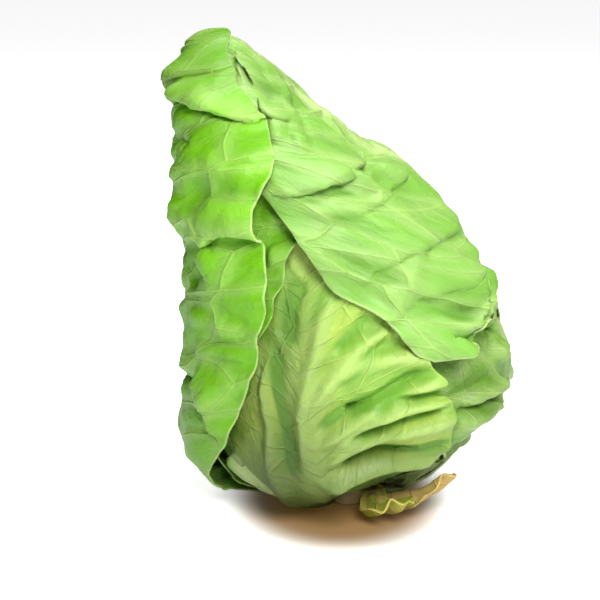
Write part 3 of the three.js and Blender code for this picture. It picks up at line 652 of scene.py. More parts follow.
def lay_leaves():
    """The outer face of every leaf as points, with what its material and relief need."""
    coarse, skin = Cover(HEART_DEPTH, 2, 0.01), Cover(HEART_DEPTH, 1, 0.005)
    names = list(LEAVES)
    hidden = hidden_share(names)
    sheets = {}
    for order, name in enumerate(names):
        leaf = LEAVES[name]
        along, across = leaf["fine"]
        depth = rest_depths(coarse, leaf)
        u, v = np.linspace(0, 1, along + 1), np.linspace(-1, 1, across + 1)
        turn, rise, lift, rib_turn = net_at(leaf, u, v, MARGIN_WOBBLE, SHOWN.get(name))
        depth = resample(depth, u * leaf["grid"][0], (v + 1) / 2 * leaf["grid"][1])
        u, v = u[:, None], v[None]
        x = np.radians(turn - rib_turn) * radius_at(rise)
        y = rise * PROFILE_LENGTH
        thickness = blade_thickness(leaf, u, x)
        ruffles = wave_lift({key: leaf[key] for key in leaf if key != "pleat"}, u, v)
        outer = depth + lift + ruffles + thickness
        j, i = skin.cells(turn, rise)
        open_share = 1 - smoothstep(hidden[name][j, i], 0.35, 0.9)
        shapes = np.stack(shape_leaf(name, turn, rise))
        raised, slide_x, slide_y = smoothstep(radius_at(rise), 3, 14) * shapes
        edge = np.minimum(1 - np.abs(v), np.minimum(1, (1 - u) * 1.5) * np.ones_like(v))
        flat = vein_plane(name, x, y, order)
        swell = crinkles(flat, order) * leaf.get("crinkle", 1)
        calm = smoothstep(u, 0.05, 0.2) * smoothstep(rise, 0.06, 0.2) * smoothstep(radius_at(rise), 4, 24)
        outer += open_share * (raised + swell * calm)
        thin = 0.9 + 0.5 * (thickness - BLADE)
        floor = skin.near(turn, rise, 1, 1) + 0.3 + thin
        push = np.maximum(floor - outer, 0)
        for _ in range(3):
            push = np.maximum(push, blurred(push))
        outer += push
        if "tip" in leaf:
            low, high, first, last = leaf["tip"]
            top = low + (high - low) * smoothstep(rise, first, last)
            outer += (top + 0.5 * raised - outer) * smoothstep(rise, 0.87, 0.93)
        turn = turn + np.degrees(slide_x * open_share / np.maximum(radius_at(rise), 8))
        rise = np.clip(rise + slide_y * open_share / PROFILE_LENGTH, 0, 1)
        rows, columns = np.linspace(0, along, along * 3 + 1), np.linspace(0, across, across * 3 + 1)
        finer = [linear_resample(grid, rows, columns) for grid in (turn, rise, outer)]
        finer[2] = finer[2] + linear_resample(open_share, rows, columns)
        skin.raise_to(*finer)
        points = place(turn, rise, outer)
        if "tip" in leaf:
            end = points[-1].mean(0)
            points[-1] = end + TIP_CLOSE * (points[-1] - end)
        sheets[name] = {
            "points": points,
            "flat": flat,
            "crest": np.clip(raised / 5, -1, 1),
            "open": open_share * smoothstep(radius_at(rise), 4, 20),
            "edge": edge,
            "rib": np.exp(-((x / (leaf["width"] * (1.1 - 0.75 * u))) ** 2)) * (1 - 0.6 * u),
            "height": u * np.ones_like(v),
            "painted_shade": painted_shade_at(name, turn, rise),
            "thick": thin / MOST_WALL,
        }
    return sheets


def painted_shade_at(name, turn, rise):
    """Painted shade as a colour factor: the front leaf darker on its left, the others near their tips."""
    if name == "front_leaf":
        return 1 - 0.42 * smoothstep(-turn, -4, 26) * (1 - 0.5 * smoothstep(rise, 0.45, 0.6))
    if name == "left_leaf":
        return 1 - 0.36 * smoothstep(rise, 0.82, 0.9)
    return np.ones_like(turn) - 0.12 * smoothstep(rise, 0.8, 0.9)


def blurred(grid):
    soft = grid.copy()
    soft[1:-1] = (grid[:-2] + grid[1:-1] + grid[2:]) / 3
    soft[:, 1:-1] = (soft[:, :-2] + soft[:, 1:-1] + soft[:, 2:]) / 3
    return soft


def vein_plane(name, x, y, order):
    """A leaf spread flat, in centimetres, so that its side veins run level."""
    left, right = DRIFT.get(name, PLAIN_DRIFT)
    slope = np.where(x < 0, left[0], right[0])
    bend = np.where(x < 0, left[1], right[1])
    across = x + 3.5 * lattice_noise(x, y, 21, order + 80)
    up = y - slope * np.abs(x) + bend * x * x + 3.5 * lattice_noise(x, y, 24, order + 90)
    return np.stack([across / 10 + 17 * order, up / 10, np.zeros_like(x)], -1)


# ---------------------------------------------------------------- node trees

def add_node(tree, kind, inputs=None, **settings):
    node = tree.nodes.new(kind)
    for key, value in settings.items():
        setattr(node, key, value)
    for key, value in (inputs or {}).items():
        socket = node.inputs[key]
        if isinstance(value, bpy.types.NodeSocket):
            tree.links.new(value, socket)
        else:
            socket.default_value = value
    return node


def maths(tree, operation, *values):
    node = add_node(tree, "ShaderNodeMath", dict(enumerate(values)), operation=operation)
    return node.outputs[0]


def ramp(tree, value, low, high, out_low=0.0, out_high=1.0):
    """A value eased from one range into another."""
    node = add_node(tree, "ShaderNodeMapRange", {
        "Value": value, "From Min": low, "From Max": high, "To Min": out_low, "To Max": out_high,
    }, interpolation_type="SMOOTHSTEP")
    return node.outputs["Result"]


def mix_colour(tree, share, first, second):
    node = add_node(tree, "ShaderNodeMix", data_type="RGBA", clamp_result=True)
    for index, value in ((0, share), (6, first), (7, second)):
        if isinstance(value, bpy.types.NodeSocket):
            tree.links.new(value, node.inputs[index])
        else:
            node.inputs[index].default_value = value
    return node.outputs[2]


def vector_maths(tree, operation, *values):
    return add_node(tree, "ShaderNodeVectorMath", dict(enumerate(values)), operation=operation)


def noise(tree, vector, scale, detail=2.0):
    node = add_node(tree, "ShaderNodeTexNoise", {"Vector": vector, "Scale": scale, "Detail": detail})
    return node.outputs[0]


def vein_net(tree, flat, cell, feature):
    """The net between the side veins, whose cells are wider than they are tall."""
    squeezed = vector_maths(tree, "MULTIPLY", flat, (0.72, 1, 1)).outputs[0]
    net = add_node(tree, "ShaderNodeTexVoronoi", {
        "Vector": squeezed, "Scale": maths(tree, "DIVIDE", 1.0, cell), "Randomness": 0.85,
    }, voronoi_dimensions="2D", feature=feature)
    return squeezed, net.outputs


def vein_distances(tree, flat, spacing, cell):
    """Distances from the side veins and from the net between them, in centimetres on the flat leaf."""
    up = add_node(tree, "ShaderNodeSeparateXYZ", {0: flat}).outputs[1]
    side = maths(tree, "PINGPONG", up, maths(tree, "MULTIPLY", spacing, 0.5))
    _, net = vein_net(tree, flat, cell, "DISTANCE_TO_EDGE")
    return side, maths(tree, "MULTIPLY", net["Distance"], cell)


def plate_tilt(tree, flat, cell):
    """Tilts the blade between the veins one way or another in each cell of the net."""
    squeezed, net = vein_net(tree, flat, cell, "F1")
    away = vector_maths(tree, "SUBTRACT", squeezed, net["Position"]).outputs[0]
    lean = vector_maths(tree, "SUBTRACT", net["Color"], (0.5, 0.5, 0.5)).outputs[0]
    tilt = vector_maths(tree, "DOT_PRODUCT", away, lean).outputs["Value"]
    return maths(tree, "MULTIPLY", tilt, 2.4)


def new_tree(name, kind, inputs, outputs):
    tree = bpy.data.node_groups.new(name, kind)
    for way, sockets in (("INPUT", inputs), ("OUTPUT", outputs)):
        for label, socket_type, value in sockets:
            socket = tree.interface.new_socket(name=label, in_out=way, socket_type=socket_type)
            if value is not None:
                socket.default_value = value
    return tree, tree.nodes.new("NodeGroupInput").outputs, tree.nodes.new("NodeGroupOutput").inputs


def attribute(tree, name, output="Fac"):
    return add_node(tree, "ShaderNodeAttribute", attribute_name=name).outputs[output]


def relief_tree():
    """Raises the veins of a leaf and swells the blade between them."""
    tree, given, result = new_tree("leaf_relief", "GeometryNodeTree", [
        ("Geometry", "NodeSocketGeometry", None),
        ("Vein Spacing", "NodeSocketFloat", 2.6),
        ("Cell Size", "NodeSocketFloat", 2.0),
        ("Vein Height", "NodeSocketFloat", 0.0005),
        ("Blister Height", "NodeSocketFloat", 0.0012),
        ("Crumple Height", "NodeSocketFloat", 0.0004),
        ("Material", "NodeSocketMaterial", None),
    ], [("Geometry", "NodeSocketGeometry", None)])

    def named(name, kind):
        node = add_node(tree, "GeometryNodeInputNamedAttribute", {"Name": name}, data_type=kind)
        return node.outputs["Attribute"]

    flat, weight = named("flat", "FLOAT_VECTOR"), named("open", "FLOAT")
    side, net = vein_distances(tree, flat, given["Vein Spacing"], given["Cell Size"])
    nearest = maths(tree, "MINIMUM", side, net)
    vein = ramp(tree, nearest, 0.0, 0.26, 1.0, 0.0)
    rising = ramp(tree, nearest, 0.0, 0.8)
    rising.node.interpolation_type = "LINEAR"
    dome = maths(tree, "MULTIPLY", rising, maths(tree, "SUBTRACT", 2.0, rising))
    tilt = plate_tilt(tree, flat, given["Cell Size"])
    crumple = maths(tree, "SUBTRACT", noise(tree, flat, 1.1, 3.0), 0.5)
    height = maths(tree, "MULTIPLY", vein, given["Vein Height"])
    plates = maths(tree, "MULTIPLY", dome, maths(tree, "ADD", tilt, 0.6))
    height = maths(tree, "ADD", height, maths(tree, "MULTIPLY", plates, given["Blister Height"]))
    height = maths(tree, "ADD", height, maths(tree, "MULTIPLY", crumple, given["Crumple Height"]))
    height = maths(tree, "MULTIPLY", height, weight)
    normal = tree.nodes.new("GeometryNodeInputNormal").outputs[0]
    offset = add_node(tree, "ShaderNodeVectorMath", {0: normal, "Scale": height}, operation="SCALE")
    moved = add_node(tree, "GeometryNodeSetPosition", {
        "Geometry": given["Geometry"], "Offset": offset.outputs[0],
    })
    real = add_node(tree, "GeometryNodeRealizeInstances", {0: moved.outputs[0]})
    painted = add_node(tree, "GeometryNodeSetMaterial", {
        "Geometry": real.outputs[0], "Material": given["Material"],
    })
    tree.links.new(painted.outputs[0], result[0])
    return tree


def leaf_colour_group():
    """Colour, roughness and fine height of a leaf's skin."""
    tree, given, result = new_tree("leaf_skin", "ShaderNodeTree", [
        ("Blade", "NodeSocketColor", None),
        ("Deep", "NodeSocketColor", None),
        ("Vein", "NodeSocketColor", None),
        ("Pale", "NodeSocketColor", None),
        ("Vein Spacing", "NodeSocketFloat", 2.6),
        ("Cell Size", "NodeSocketFloat", 2.0),
        ("Foot Pale", "NodeSocketFloat", 0.3),
        ("Crest Pale", "NodeSocketFloat", 0.15),
        ("Foot Shade", "NodeSocketFloat", 0.75),
    ], [
        ("Colour", "NodeSocketColor", None),
        ("Roughness", "NodeSocketFloat", None),
        ("Height", "NodeSocketFloat", None),
    ])
    flat = attribute(tree, "flat", "Vector")
    side, net = vein_distances(tree, flat, given["Vein Spacing"], given["Cell Size"])
    small = add_node(tree, "ShaderNodeTexVoronoi", {"Vector": flat, "Scale": 1.7, "Randomness": 0.9},
                     voronoi_dimensions="2D", feature="DISTANCE_TO_EDGE").outputs["Distance"]
    broad, grain = noise(tree, flat, 0.35, 3.0), noise(tree, flat, 9.0, 4.0)
    side_line = ramp(tree, side, 0.014, 0.07, 0.6, 0.0)
    net_line = ramp(tree, net, 0.01, 0.055, 0.55, 0.0)
    small_line = ramp(tree, small, 0.0, 0.035, 0.14, 0.0)
    lines = maths(tree, "MAXIMUM", side_line, net_line)
    around = ramp(tree, maths(tree, "MINIMUM", side, net), 0.05, 0.5, 0.2, 0.0)
    mottle = ramp(tree, broad, 0.3, 0.7)
    colour = mix_colour(tree, mottle, given["Deep"], given["Blade"])
    colour = mix_colour(tree, around, colour, given["Pale"])
    colour = mix_colour(tree, maths(tree, "MAXIMUM", lines, small_line), colour, given["Vein"])
    foot = ramp(tree, attribute(tree, "height"), 0.0, given["Foot Pale"], 1.0, 0.0)
    pale = maths(tree, "MAXIMUM", maths(tree, "MULTIPLY", foot, 0.9), attribute(tree, "rib"))
    colour = mix_colour(tree, pale, colour, given["Pale"])
    crest = attribute(tree, "crest")
    crest_pale = maths(tree, "MULTIPLY", ramp(tree, crest, 0.0, 0.9), given["Crest Pale"])
    colour = mix_colour(tree, crest_pale, colour, given["Pale"])
    # Painted shade: furrows, where the crest is below zero, take on the Deep colour.
    colour = mix_colour(tree, ramp(tree, crest, -0.6, 0.0, 0.9, 0.0), colour, given["Deep"])
    edge = ramp(tree, attribute(tree, "edge"), 0.0, 0.01, 0.6, 0.0)
    colour = mix_colour(tree, edge, colour, given["Pale"])
    speck = mix_colour(tree, ramp(tree, grain, 0.35, 0.75, 0.0, 0.12), colour, given["Deep"])
    # Painted shade: the colour is darkened towards the leaf's foot by Foot Shade, and multiplied by the
    # per-point shade factor.
    shade = ramp(tree, attribute(tree, "height"), 0.15, 0.6, given["Foot Shade"], 1.0)
    shade = maths(tree, "MULTIPLY", shade, attribute(tree, "painted_shade"))
    shaded = add_node(tree, "ShaderNodeVectorMath", {0: speck, "Scale": shade}, operation="SCALE")
    tree.links.new(shaded.outputs[0], result["Colour"])
    tree.links.new(ramp(tree, grain, 0.2, 0.8, 0.42, 0.56), result["Roughness"])
    height = maths(tree, "MULTIPLY", lines, 0.6)
    for part, share in ((small_line, 0.8), (grain, 0.25), (noise(tree, flat, 1.5), 1.6)):
        height = maths(tree, "ADD", height, maths(tree, "MULTIPLY", part, share))
    tree.links.new(height, result["Height"])
    return tree


def principled(material, **values):
    tree = material.node_tree
    shader = tree.nodes["Principled BSDF"]
    for key, value in values.items():
        shader.inputs[key].default_value = value
    return tree, shader


def add_bump(tree, shader, height, strength, distance):
    bump = add_node(tree, "ShaderNodeBump", {"Height": height, "Strength": strength, "Distance": distance})
    tree.links.new(bump.outputs[0], shader.inputs["Normal"])


def blend(first, second, share):
    return tuple(a + (b - a) * share for a, b in zip(first, second))


def leaf_material(
    name, blade, deep, vein, pale, foot_pale=0.3, glow=0.3, crest_pale=0.15, foot_shade=0.75,
):
    group = bpy.data.node_groups.get("leaf_skin") or leaf_colour_group()
    material = bpy.data.materials.new(name)
    material.use_nodes = True
    tree, shader = principled(material, **{
        "Coat Weight": 0.05, "Coat Roughness": 0.35, "Specular IOR Level": 0.25,
        "Subsurface Weight": glow, "Subsurface Radius": (0.7, 1.0, 0.25), "Subsurface Scale": 0.004,
    })
    skin = add_node(tree, "ShaderNodeGroup", node_tree=group)
    for label, value in (
        ("Blade", (*blade, 1)), ("Deep", (*deep, 1)), ("Vein", (*blend(blade, vein, 0.6), 1)),
        ("Pale", (*pale, 1)), ("Foot Pale", foot_pale), ("Crest Pale", crest_pale),
        ("Foot Shade", foot_shade),
    ):
        skin.inputs[label].default_value = value
    tree.links.new(skin.outputs["Colour"], shader.inputs["Base Color"])
    tree.links.new(skin.outputs["Roughness"], shader.inputs["Roughness"])
    add_bump(tree, shader, skin.outputs["Height"], 0.9, 0.0011)
    return material


# ---------------------------------------------------------------- meshes

def smooth_mesh(name, verts, faces):
    mesh = bpy.data.meshes.new(name)
    mesh.from_pydata(verts, [], faces)
    mesh.polygons.foreach_set("use_smooth", np.ones(len(faces), bool))
    return mesh


def new_object(name, data):
    obj = bpy.data.objects.new(name, data)
    bpy.context.collection.objects.link(obj)
    return obj


def add_map(mesh, key, values):
    layer = mesh.attributes.new(key, "FLOAT", "POINT")
    layer.data.foreach_set("value", np.asarray(values, np.float32).ravel())


def add_flat(mesh, places):
    layer = mesh.attributes.new("flat", "FLOAT_VECTOR", "POINT")
    layer.data.foreach_set("vector", np.asarray(places, np.float32).ravel())


def stand_for(obj, node):
    """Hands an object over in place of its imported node."""
    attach(obj, BODY)
    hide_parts(node)


def sheet_mesh(name, sheet):
    """A leaf's outer face as a mesh of quads that face outwards, with its maps as attributes."""
    points = sheet["points"]
    rows, columns = points.shape[:2]
    index = np.arange(rows * columns).reshape(rows, columns)
    quads = np.stack([index[:-1, :-1], index[:-1, 1:], index[1:, 1:], index[1:, :-1]], -1).reshape(-1, 4)
    mesh = smooth_mesh(name, points.reshape(-1, 3).tolist(), quads.tolist())
    for key in ("open", "edge", "rib", "height", "crest", "painted_shade"):
        add_map(mesh, key, np.broadcast_to(sheet[key], (rows, columns)))
    add_flat(mesh, sheet["flat"])
    return mesh


def closed_rings(rings, foot, tip):
    """Points and faces of a closed skin over rings of points that run anticlockwise from the foot up."""
    rows, around = rings.shape[:2]
    index = np.arange(rows * around).reshape(rows, around)
    after = np.roll(index, -1, 1)
    verts = rings.reshape(-1, 3).tolist() + [foot, tip]
    faces = np.stack([index[:-1], after[:-1], after[1:], index[1:]], -1).reshape(-1, 4).tolist()
    faces += [[len(verts) - 2, b, a] for a, b in zip(index[0].tolist(), after[0].tolist())]
    faces += [[len(verts) - 1, a, b] for a, b in zip(index[-1].tolist(), after[-1].tolist())]
    return verts, faces


def set_input(modifier, label, value):
    for item in modifier.node_group.interface.items_tree:
        if item.item_type == "SOCKET" and item.in_out == "INPUT" and item.name == label:
            modifier[item.identifier] = value
            return
    raise KeyError(label)


def finish_piece(obj, node):
    """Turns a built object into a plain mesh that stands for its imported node."""
    bpy.context.view_layer.update()
    graph = bpy.context.evaluated_depsgraph_get()
    evaluated = obj.evaluated_get(graph)
    mesh = bpy.data.meshes.new_from_object(evaluated, preserve_all_data_layers=True, depsgraph=graph)
    obj.modifiers.clear()
    points = np.empty(len(mesh.vertices) * 3, np.float32)
    mesh.vertices.foreach_get("co", points)
    points[2::3] = np.maximum(points[2::3], LOWEST * MM)
    mesh.vertices.foreach_set("co", points)
    obj.data = mesh
    stand_for(obj, node)


def build_leaf(name, material, spacing=2.6, cell=2.0, vein=0.5, blister=1.2, crumple=0.4):
    """One leaf: its outer face, the relief on it and its thickness. Vein, blister and crumple are heights."""
    sheet = head()[name]
    mesh = sheet_mesh(name + ("_blade" if "leaf" in name else "_leaf"), sheet)
    obj = new_object(mesh.name, mesh)
    group = obj.vertex_groups.new(name="thick")
    weights = np.broadcast_to(sheet["thick"], sheet["points"].shape[:2]).ravel()
    grades = 40
    levels = np.round(np.clip(weights, 0, 1) * grades).astype(int)
    for level in np.unique(levels):
        group.add(np.nonzero(levels == level)[0].tolist(), level / grades, "REPLACE")
    relief = obj.modifiers.new("relief", "NODES")
    relief.node_group = bpy.data.node_groups.get("leaf_relief") or relief_tree()
    for label, value in (
        ("Vein Spacing", spacing), ("Cell Size", cell), ("Vein Height", vein * MM),
        ("Blister Height", blister * MM), ("Crumple Height", crumple * MM), ("Material", material),
    ):
        set_input(relief, label, value)
    wall = obj.modifiers.new("wall", "SOLIDIFY")
    wall.thickness, wall.offset, wall.vertex_group = MOST_WALL * MM, -1, "thick"
    finish_piece(obj, name)


_head = {}


def head():
    """The laid leaves, worked out once."""
    if not _head:
        _head.update(lay_leaves())
    return _head


# ---------------------------------------------------------------- sizes and colours

def colour_property(name, description, default):
    return bpy.props.FloatVectorProperty(
        name=name, description=description, default=default, subtype="COLOR", size=3, min=0, max=1)


class LeafSettings(bpy.types.PropertyGroup):
    vein_spacing: bpy.props.FloatProperty(
        name="Vein spacing", description="Distance between side veins, in centimetres", default=2.6, min=1)
    cell_size: bpy.props.FloatProperty(
        name="Cell size", description="Width of the net's cells, in centimetres", default=2.0, min=0.5)
    vein_height: bpy.props.FloatProperty(
        name="Vein height", description="How far veins stand up, in millimetres", default=1.1, min=0)
    blister_height: bpy.props.FloatProperty(
        name="Blister height", description="How far the blade swells between veins, in millimetres",
        default=3.2, min=0)


class ColourSettings(bpy.types.PropertyGroup):
    outer: colour_property("Outer leaf", "Blade of the left outer leaf", (0.145, 0.42, 0.004))
    light: colour_property("Lighter leaf", "Blade of the right and back leaves", (0.165, 0.36, 0.05))
    front: colour_property("Front leaf", "Blade of the pale front leaf", (0.39, 0.52, 0.08))
    heart: colour_property("Heart", "The innermost leaves", (0.5, 0.55, 0.2))
    vein: colour_property("Veins", "Raised veins", (0.36, 0.52, 0.15))
    rib: colour_property("Ribs", "Broad pale ribs", (0.42, 0.5, 0.22))
    crest: colour_property("Crests", "Pleats and rib of the front leaf", (0.35, 0.5, 0.13))
    stub: colour_property("Stubs", "Cut leaf stubs", (0.3, 0.42, 0.02))
    dry: colour_property("Dry stub", "Where a cut stub has dried", (0.52, 0.37, 0.12))
    stalk: colour_property("Stalk", "The cut stalk", (0.66, 0.58, 0.28))


class StageSettings(bpy.types.PropertyGroup):
    distance: bpy.props.FloatProperty(
        name="Camera distance", description="From the camera to the head", default=0.7, unit="LENGTH")
    elevation: bpy.props.FloatProperty(
        name="Camera elevation", description="Above the horizon", default=math.radians(14), subtype="ANGLE")
    lens: bpy.props.FloatProperty(name="Lens", description="Focal length in millimetres", default=90)
    floor: bpy.props.FloatProperty(
        name="Floor", description="Width of the floor", default=60.0, unit="LENGTH")


LIGHT_AIM = Vector((0, 0, 0.1))  # the point that the lights face


def darker(colour, share):
    return tuple(channel * share for channel in colour)


class CABBAGE_OT_stalk(bpy.types.Operator):
    """Make the cut stalk"""
    bl_idname = "cabbage.stalk"
    bl_label = "Stalk"

    def execute(self, context):
        flat_radius = STEM_RADIUS - STEM_EDGE
        outline = [(r, 0) for r in np.linspace(0, flat_radius, 16)[1:]]
        outline += [
            (flat_radius + STEM_EDGE * math.sin(a), STEM_EDGE * (1 - math.cos(a)))
            for a in np.linspace(0.2, 1.57, 6)
        ]
        outline += [(STEM_RADIUS, z) for z in np.linspace(2.5, STEM_TOP - STEM_EDGE, 14)]
        outline += [(r, STEM_TOP) for r in np.linspace(flat_radius, 0, 4)[:-1]]
        turns = np.linspace(0, 2 * np.pi, 96, endpoint=False)
        rings = np.array([[(r * math.cos(a), r * math.sin(a), z) for a in turns] for r, z in outline]) * MM
        mesh = smooth_mesh("stalk", *closed_rings(rings, (0, 0, 0), (0, 0, STEM_TOP * MM)))
        mesh.materials.append(stalk_material(context.scene.cabbage_colours))
        stand_for(new_object("stalk", mesh), "stem")
        return {"FINISHED"}


def stalk_material(colours):
    material = bpy.data.materials.new("stalk flesh")
    material.use_nodes = True
    tree, shader = principled(material, **{
        "Subsurface Weight": 0.2, "Subsurface Scale": 0.003, "Roughness": 0.55,
    })
    place_at = tree.nodes.new("ShaderNodeTexCoord").outputs["Object"]
    rings = add_node(tree, "ShaderNodeTexWave", {
        "Vector": place_at, "Scale": 90.0, "Distortion": 3.0, "Detail": 3.0,
    }, wave_type="RINGS", rings_direction="Z").outputs["Fac"]
    blotch = noise(tree, place_at, 180.0, 5.0)
    brown = (0.42, 0.3, 0.12, 1)
    colour = mix_colour(tree, ramp(tree, blotch, 0.45, 0.75, 0, 0.55), (*colours.stalk, 1), brown)
    colour = mix_colour(tree, ramp(tree, rings, 0.2, 0.9, 0, 0.25), colour, brown)
    tree.links.new(colour, shader.inputs["Base Color"])
    add_bump(tree, shader, blotch, 0.4, 0.0006)
    return material


class CABBAGE_OT_heart(bpy.types.Operator):
    """Make the heart and the inner leaves"""
    bl_idname = "cabbage.heart"
    bl_label = "Heart and inner leaves"

    def execute(self, context):
        colours, sizes = context.scene.cabbage_colours, context.scene.cabbage_leaves
        heart, rib = tuple(colours.heart), tuple(colours.rib)
        material = leaf_material("inner leaf", heart, darker(heart, 0.85), rib, rib)
        turn, rise = np.meshgrid(np.linspace(0, 360, 200, endpoint=False), np.linspace(0.02, 0.96, 150))
        swell = np.cos(np.radians(3 * turn + 200 * rise))
        furrow = 0.8 * np.abs(np.sin(np.radians(4 * turn - 330 * rise)))
        rings = place(turn, rise, HEART_DEPTH - 2.5 + swell - furrow)
        rings[..., 2] = np.maximum(rings[..., 2], (STEM_TOP + HEART_CLEARANCE) * MM)
        verts, faces = closed_rings(rings, rings[0].mean(0).tolist(), rings[-1].mean(0).tolist())
        mesh = smooth_mesh("heart_folds", verts, faces)
        spread = np.stack([turn * 0.09, rise * 24, np.zeros_like(turn)], -1).reshape(-1, 3)
        add_flat(mesh, np.vstack([spread, np.zeros((2, 3))]))
        # Height, edge and the shade factor are 1 all over the heart: no pale foot or margin and no painted
        # shade.
        for key in ("height", "edge", "painted_shade"):
            add_map(mesh, key, np.ones(len(verts)))
        mesh.materials.append(material)
        stand_for(new_object("heart_folds", mesh), "heart")
        for name in INNER:
            build_leaf(name, material, sizes.vein_spacing, sizes.cell_size, 0, 0, 0)
        return {"FINISHED"}


class CABBAGE_OT_lower_leaves(bpy.types.Operator):
    """Make the leaves low on the head that the outer leaves partly cover"""
    bl_idname = "cabbage.lower_leaves"
    bl_label = "Lower leaves"

    def execute(self, context):
        colours, sizes = context.scene.cabbage_colours, context.scene.cabbage_leaves
        light, vein, rib = tuple(colours.light), tuple(colours.vein), tuple(colours.rib)
        green = leaf_material("light leaf", light, darker(light, 0.82), vein, rib)
        dark = leaf_material("shaded leaf", darker(light, 0.6), darker(light, 0.4), vein, rib)
        yellower = (0.72 * light[0], 0.74 * light[1], 0.45 * light[2])
        low = leaf_material("low leaf", yellower, darker(yellower, 0.75), vein, rib)
        outer = tuple(colours.outer)
        outer_vein = blend(outer, vein, 0.6)
        # Painted shade: a darker copy of the outer leaf's colours for the inner leaf that shows in the gap
        # between the wrappers.
        deep = leaf_material("shaded inner leaf", darker(outer, 0.75), darker(outer, 0.5), outer_vein, vein)
        for name, slot, material in (
            ("right_under_leaf", "leaf_green", low), ("lower_left_leaf", "leaf_pale", green),
            ("back_leaf", "leaf_green", green), ("right_low_leaf", "leaf_green", low),
            ("left_inner_leaf", "leaf_pale", deep),
        ):
            build_leaf(name, material, sizes.vein_spacing, sizes.cell_size,
                       sizes.vein_height, sizes.blister_height)
        build_leaf("lower_left_under_leaf", dark)
        return {"FINISHED"}


class CABBAGE_OT_front_leaf(bpy.types.Operator):
    """Make the pale pleated front leaf"""
    bl_idname = "cabbage.front_leaf"
    bl_label = "Front leaf"

    def execute(self, context):
        colours = context.scene.cabbage_colours
        front = tuple(colours.front)
        deep = (0.35 * front[0], 0.62 * front[1], 0.4 * front[2])
        pale = tuple(colours.crest)
        vein = blend(front, pale, 0.5)
        material = leaf_material("front leaf", front, deep, vein, pale, 0.28, crest_pale=0.9, foot_shade=0.36)
        build_leaf("front_leaf", material, 3.4, 2.6, vein=0.15, blister=0.3, crumple=0.5)
        return {"FINISHED"}


class CABBAGE_OT_stubs(bpy.types.Operator):
    """Make the stubs of two leaves that were cut away"""
    bl_idname = "cabbage.stubs"
    bl_label = "Stubs"

    def execute(self, context):
        colours = context.scene.cabbage_colours
        dry = tuple(colours.dry)
        for name, colour in (("front_stub", tuple(colours.stub)), ("right_stub", dry)):
            label, deep = name.replace("_", " "), darker(colour, 0.55)
            material = leaf_material(label, colour, deep, dry, dry, 0.2, glow=0.15, foot_shade=1.0)
            build_leaf(name, material, 0.8, 0.6, vein=0.3, blister=0.5, crumple=1.2)
        return {"FINISHED"}


class CABBAGE_OT_outer_leaves(bpy.types.Operator):
    """Make the two leaves that wrap the head"""
    bl_idname = "cabbage.outer_leaves"
    bl_label = "Outer leaves"

    def execute(self, context):
        colours, sizes = context.scene.cabbage_colours, context.scene.cabbage_leaves
        outer, vein, rib = tuple(colours.outer), tuple(colours.vein), tuple(colours.rib)
        green = leaf_material("outer leaf", outer, darker(outer, 0.84), vein, rib)
        for name, material in (("right_leaf", bpy.data.materials["light leaf"]), ("left_leaf", green)):
            build_leaf(name, material, sizes.vein_spacing, sizes.cell_size,
                       sizes.vein_height, sizes.blister_height)
        return {"FINISHED"}


def floor_material():
    """Pale paper with a painted shadow round the stalk, and a glow that only the camera sees further out."""
    paper = bpy.data.materials.new("floor paper")
    paper.use_nodes = True
    tree, shader = principled(paper, Roughness=0.9)
    place_at = tree.nodes.new("ShaderNodeTexCoord").outputs["Object"]
    under = vector_maths(tree, "MULTIPLY_ADD", place_at, (1.35, 1, 1), (0.006, 0.0, 0.0)).outputs[0]
    away = vector_maths(tree, "LENGTH", under).outputs["Value"]
    # Painted shadow: the paper is dark warm brown close to the stalk and turns white further out.
    painted_shadow_colour = mix_colour(tree, noise(tree, place_at, 30.0), (0.25, 0.14, 0.045, 1), (0.29, 0.17, 0.06, 1))
    colour = mix_colour(tree, ramp(tree, away, 0.045, 0.085), painted_shadow_colour, (0.95, 0.95, 0.94, 1))
    # Painted shadow: a faint warm glow close to the stalk, and a white glow that only the camera sees,
    # growing away from the stalk so the floor shows white outside the painted shadow.
    light = mix_colour(tree, ramp(tree, away, 0.03, 0.07), (1.0, 0.55, 0.12, 1), (1.0, 1.0, 1.0, 1))
    seen = tree.nodes.new("ShaderNodeLightPath").outputs["Is Camera Ray"]
    glow = maths(tree, "MULTIPLY", seen, ramp(tree, away, 0.048, 0.09, 0.05, 0.9))
    tree.links.new(colour, shader.inputs["Base Color"])
    tree.links.new(light, shader.inputs["Emission Color"])
    tree.links.new(glow, shader.inputs["Emission Strength"])
    return paper


def studio_world():
    """Soft light from all round, brighter from above."""
    world = bpy.data.worlds.new("studio")
    world.use_nodes = True
    tree = world.node_tree
    way = tree.nodes.new("ShaderNodeTexCoord").outputs["Generated"]
    up = add_node(tree, "ShaderNodeSeparateXYZ", {0: way}).outputs[2]
    tree.links.new(ramp(tree, up, -0.1, 0.9, 0.38, 0.65), tree.nodes["Background"].inputs[1])
    return world


def aim_at(obj, spot, target):
    """Puts a camera or a light at a spot, facing a target."""
    obj.location = spot
    obj.rotation_mode = "QUATERNION"
    obj.rotation_quaternion = (spot - target).to_track_quat("Z", "Y")


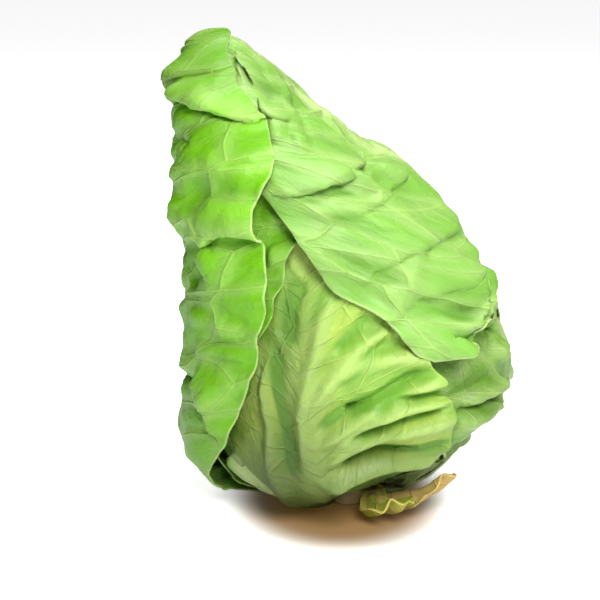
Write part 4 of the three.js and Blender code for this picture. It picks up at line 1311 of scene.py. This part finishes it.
class CABBAGE_OT_stage(bpy.types.Operator):
    """Make the floor, the lights and the camera"""
    bl_idname = "cabbage.stage"
    bl_label = "Stage"

    def execute(self, context):
        settings = context.scene.cabbage_stage
        half = settings.floor / 2
        corners = [(-half, -half, 0), (half, -half, 0), (half, half, 0), (-half, half, 0)]
        mesh = bpy.data.meshes.new("floor")
        mesh.from_pydata(corners, [], [(0, 1, 2, 3)])
        mesh.materials.append(floor_material())
        new_object("floor", mesh)
        low, high = cad_box
        target = Vector((low.x + 0.38 * (high.x - low.x), 0, 0.435 * high.z))
        back = Vector((0, -math.cos(settings.elevation), math.sin(settings.elevation)))
        data = bpy.data.cameras.new("camera")
        data.lens, data.sensor_width = settings.lens, 36
        camera = new_object("camera", data)
        aim_at(camera, target + back * settings.distance, target)
        context.scene.camera = camera
        for name, spot, size, power in (
            ("overhead", (0.1, 0.0, 1.3), 0.6, 18), ("front", (0.2, -0.85, 0.8), 0.5, 20),
        ):
            light = bpy.data.lights.new(name, "AREA")
            light.energy, light.size = power, size
            aim_at(new_object(name, light), Vector(spot), LIGHT_AIM)
        context.scene.world = studio_world()
        context.scene.view_settings.view_transform = "Standard"
        return {"FINISHED"}


class CABBAGE_PT_panel(bpy.types.Panel):
    bl_label = "Pointed Cabbage"
    bl_idname = "CABBAGE_PT_panel"
    bl_space_type = "VIEW_3D"
    bl_region_type = "UI"
    bl_category = "Cabbage"

    def draw(self, context):
        for operator in OPERATORS:
            self.layout.operator(operator.bl_idname)
        for name in SETTINGS:
            settings = getattr(context.scene, name)
            for key in settings.__annotations__:
                self.layout.prop(settings, key)


OPERATORS = (
    CABBAGE_OT_stalk, CABBAGE_OT_heart, CABBAGE_OT_lower_leaves, CABBAGE_OT_front_leaf,
    CABBAGE_OT_stubs, CABBAGE_OT_outer_leaves, CABBAGE_OT_stage,
)
SETTINGS = {"cabbage_leaves": LeafSettings, "cabbage_colours": ColourSettings, "cabbage_stage": StageSettings}


def register():
    for cls in (*SETTINGS.values(), *OPERATORS, CABBAGE_PT_panel):
        bpy.utils.register_class(cls)
    for name, cls in SETTINGS.items():
        setattr(bpy.types.Scene, name, bpy.props.PointerProperty(type=cls))


def unregister():
    for name in SETTINGS:
        delattr(bpy.types.Scene, name)
    for cls in (CABBAGE_PT_panel, *reversed(OPERATORS), *reversed(list(SETTINGS.values()))):
        bpy.utils.unregister_class(cls)


def main():
    register()
    for operator in OPERATORS:
        group, name = operator.bl_idname.split(".")
        getattr(getattr(bpy.ops, group), name)()


if __name__ == "__main__":
    main()
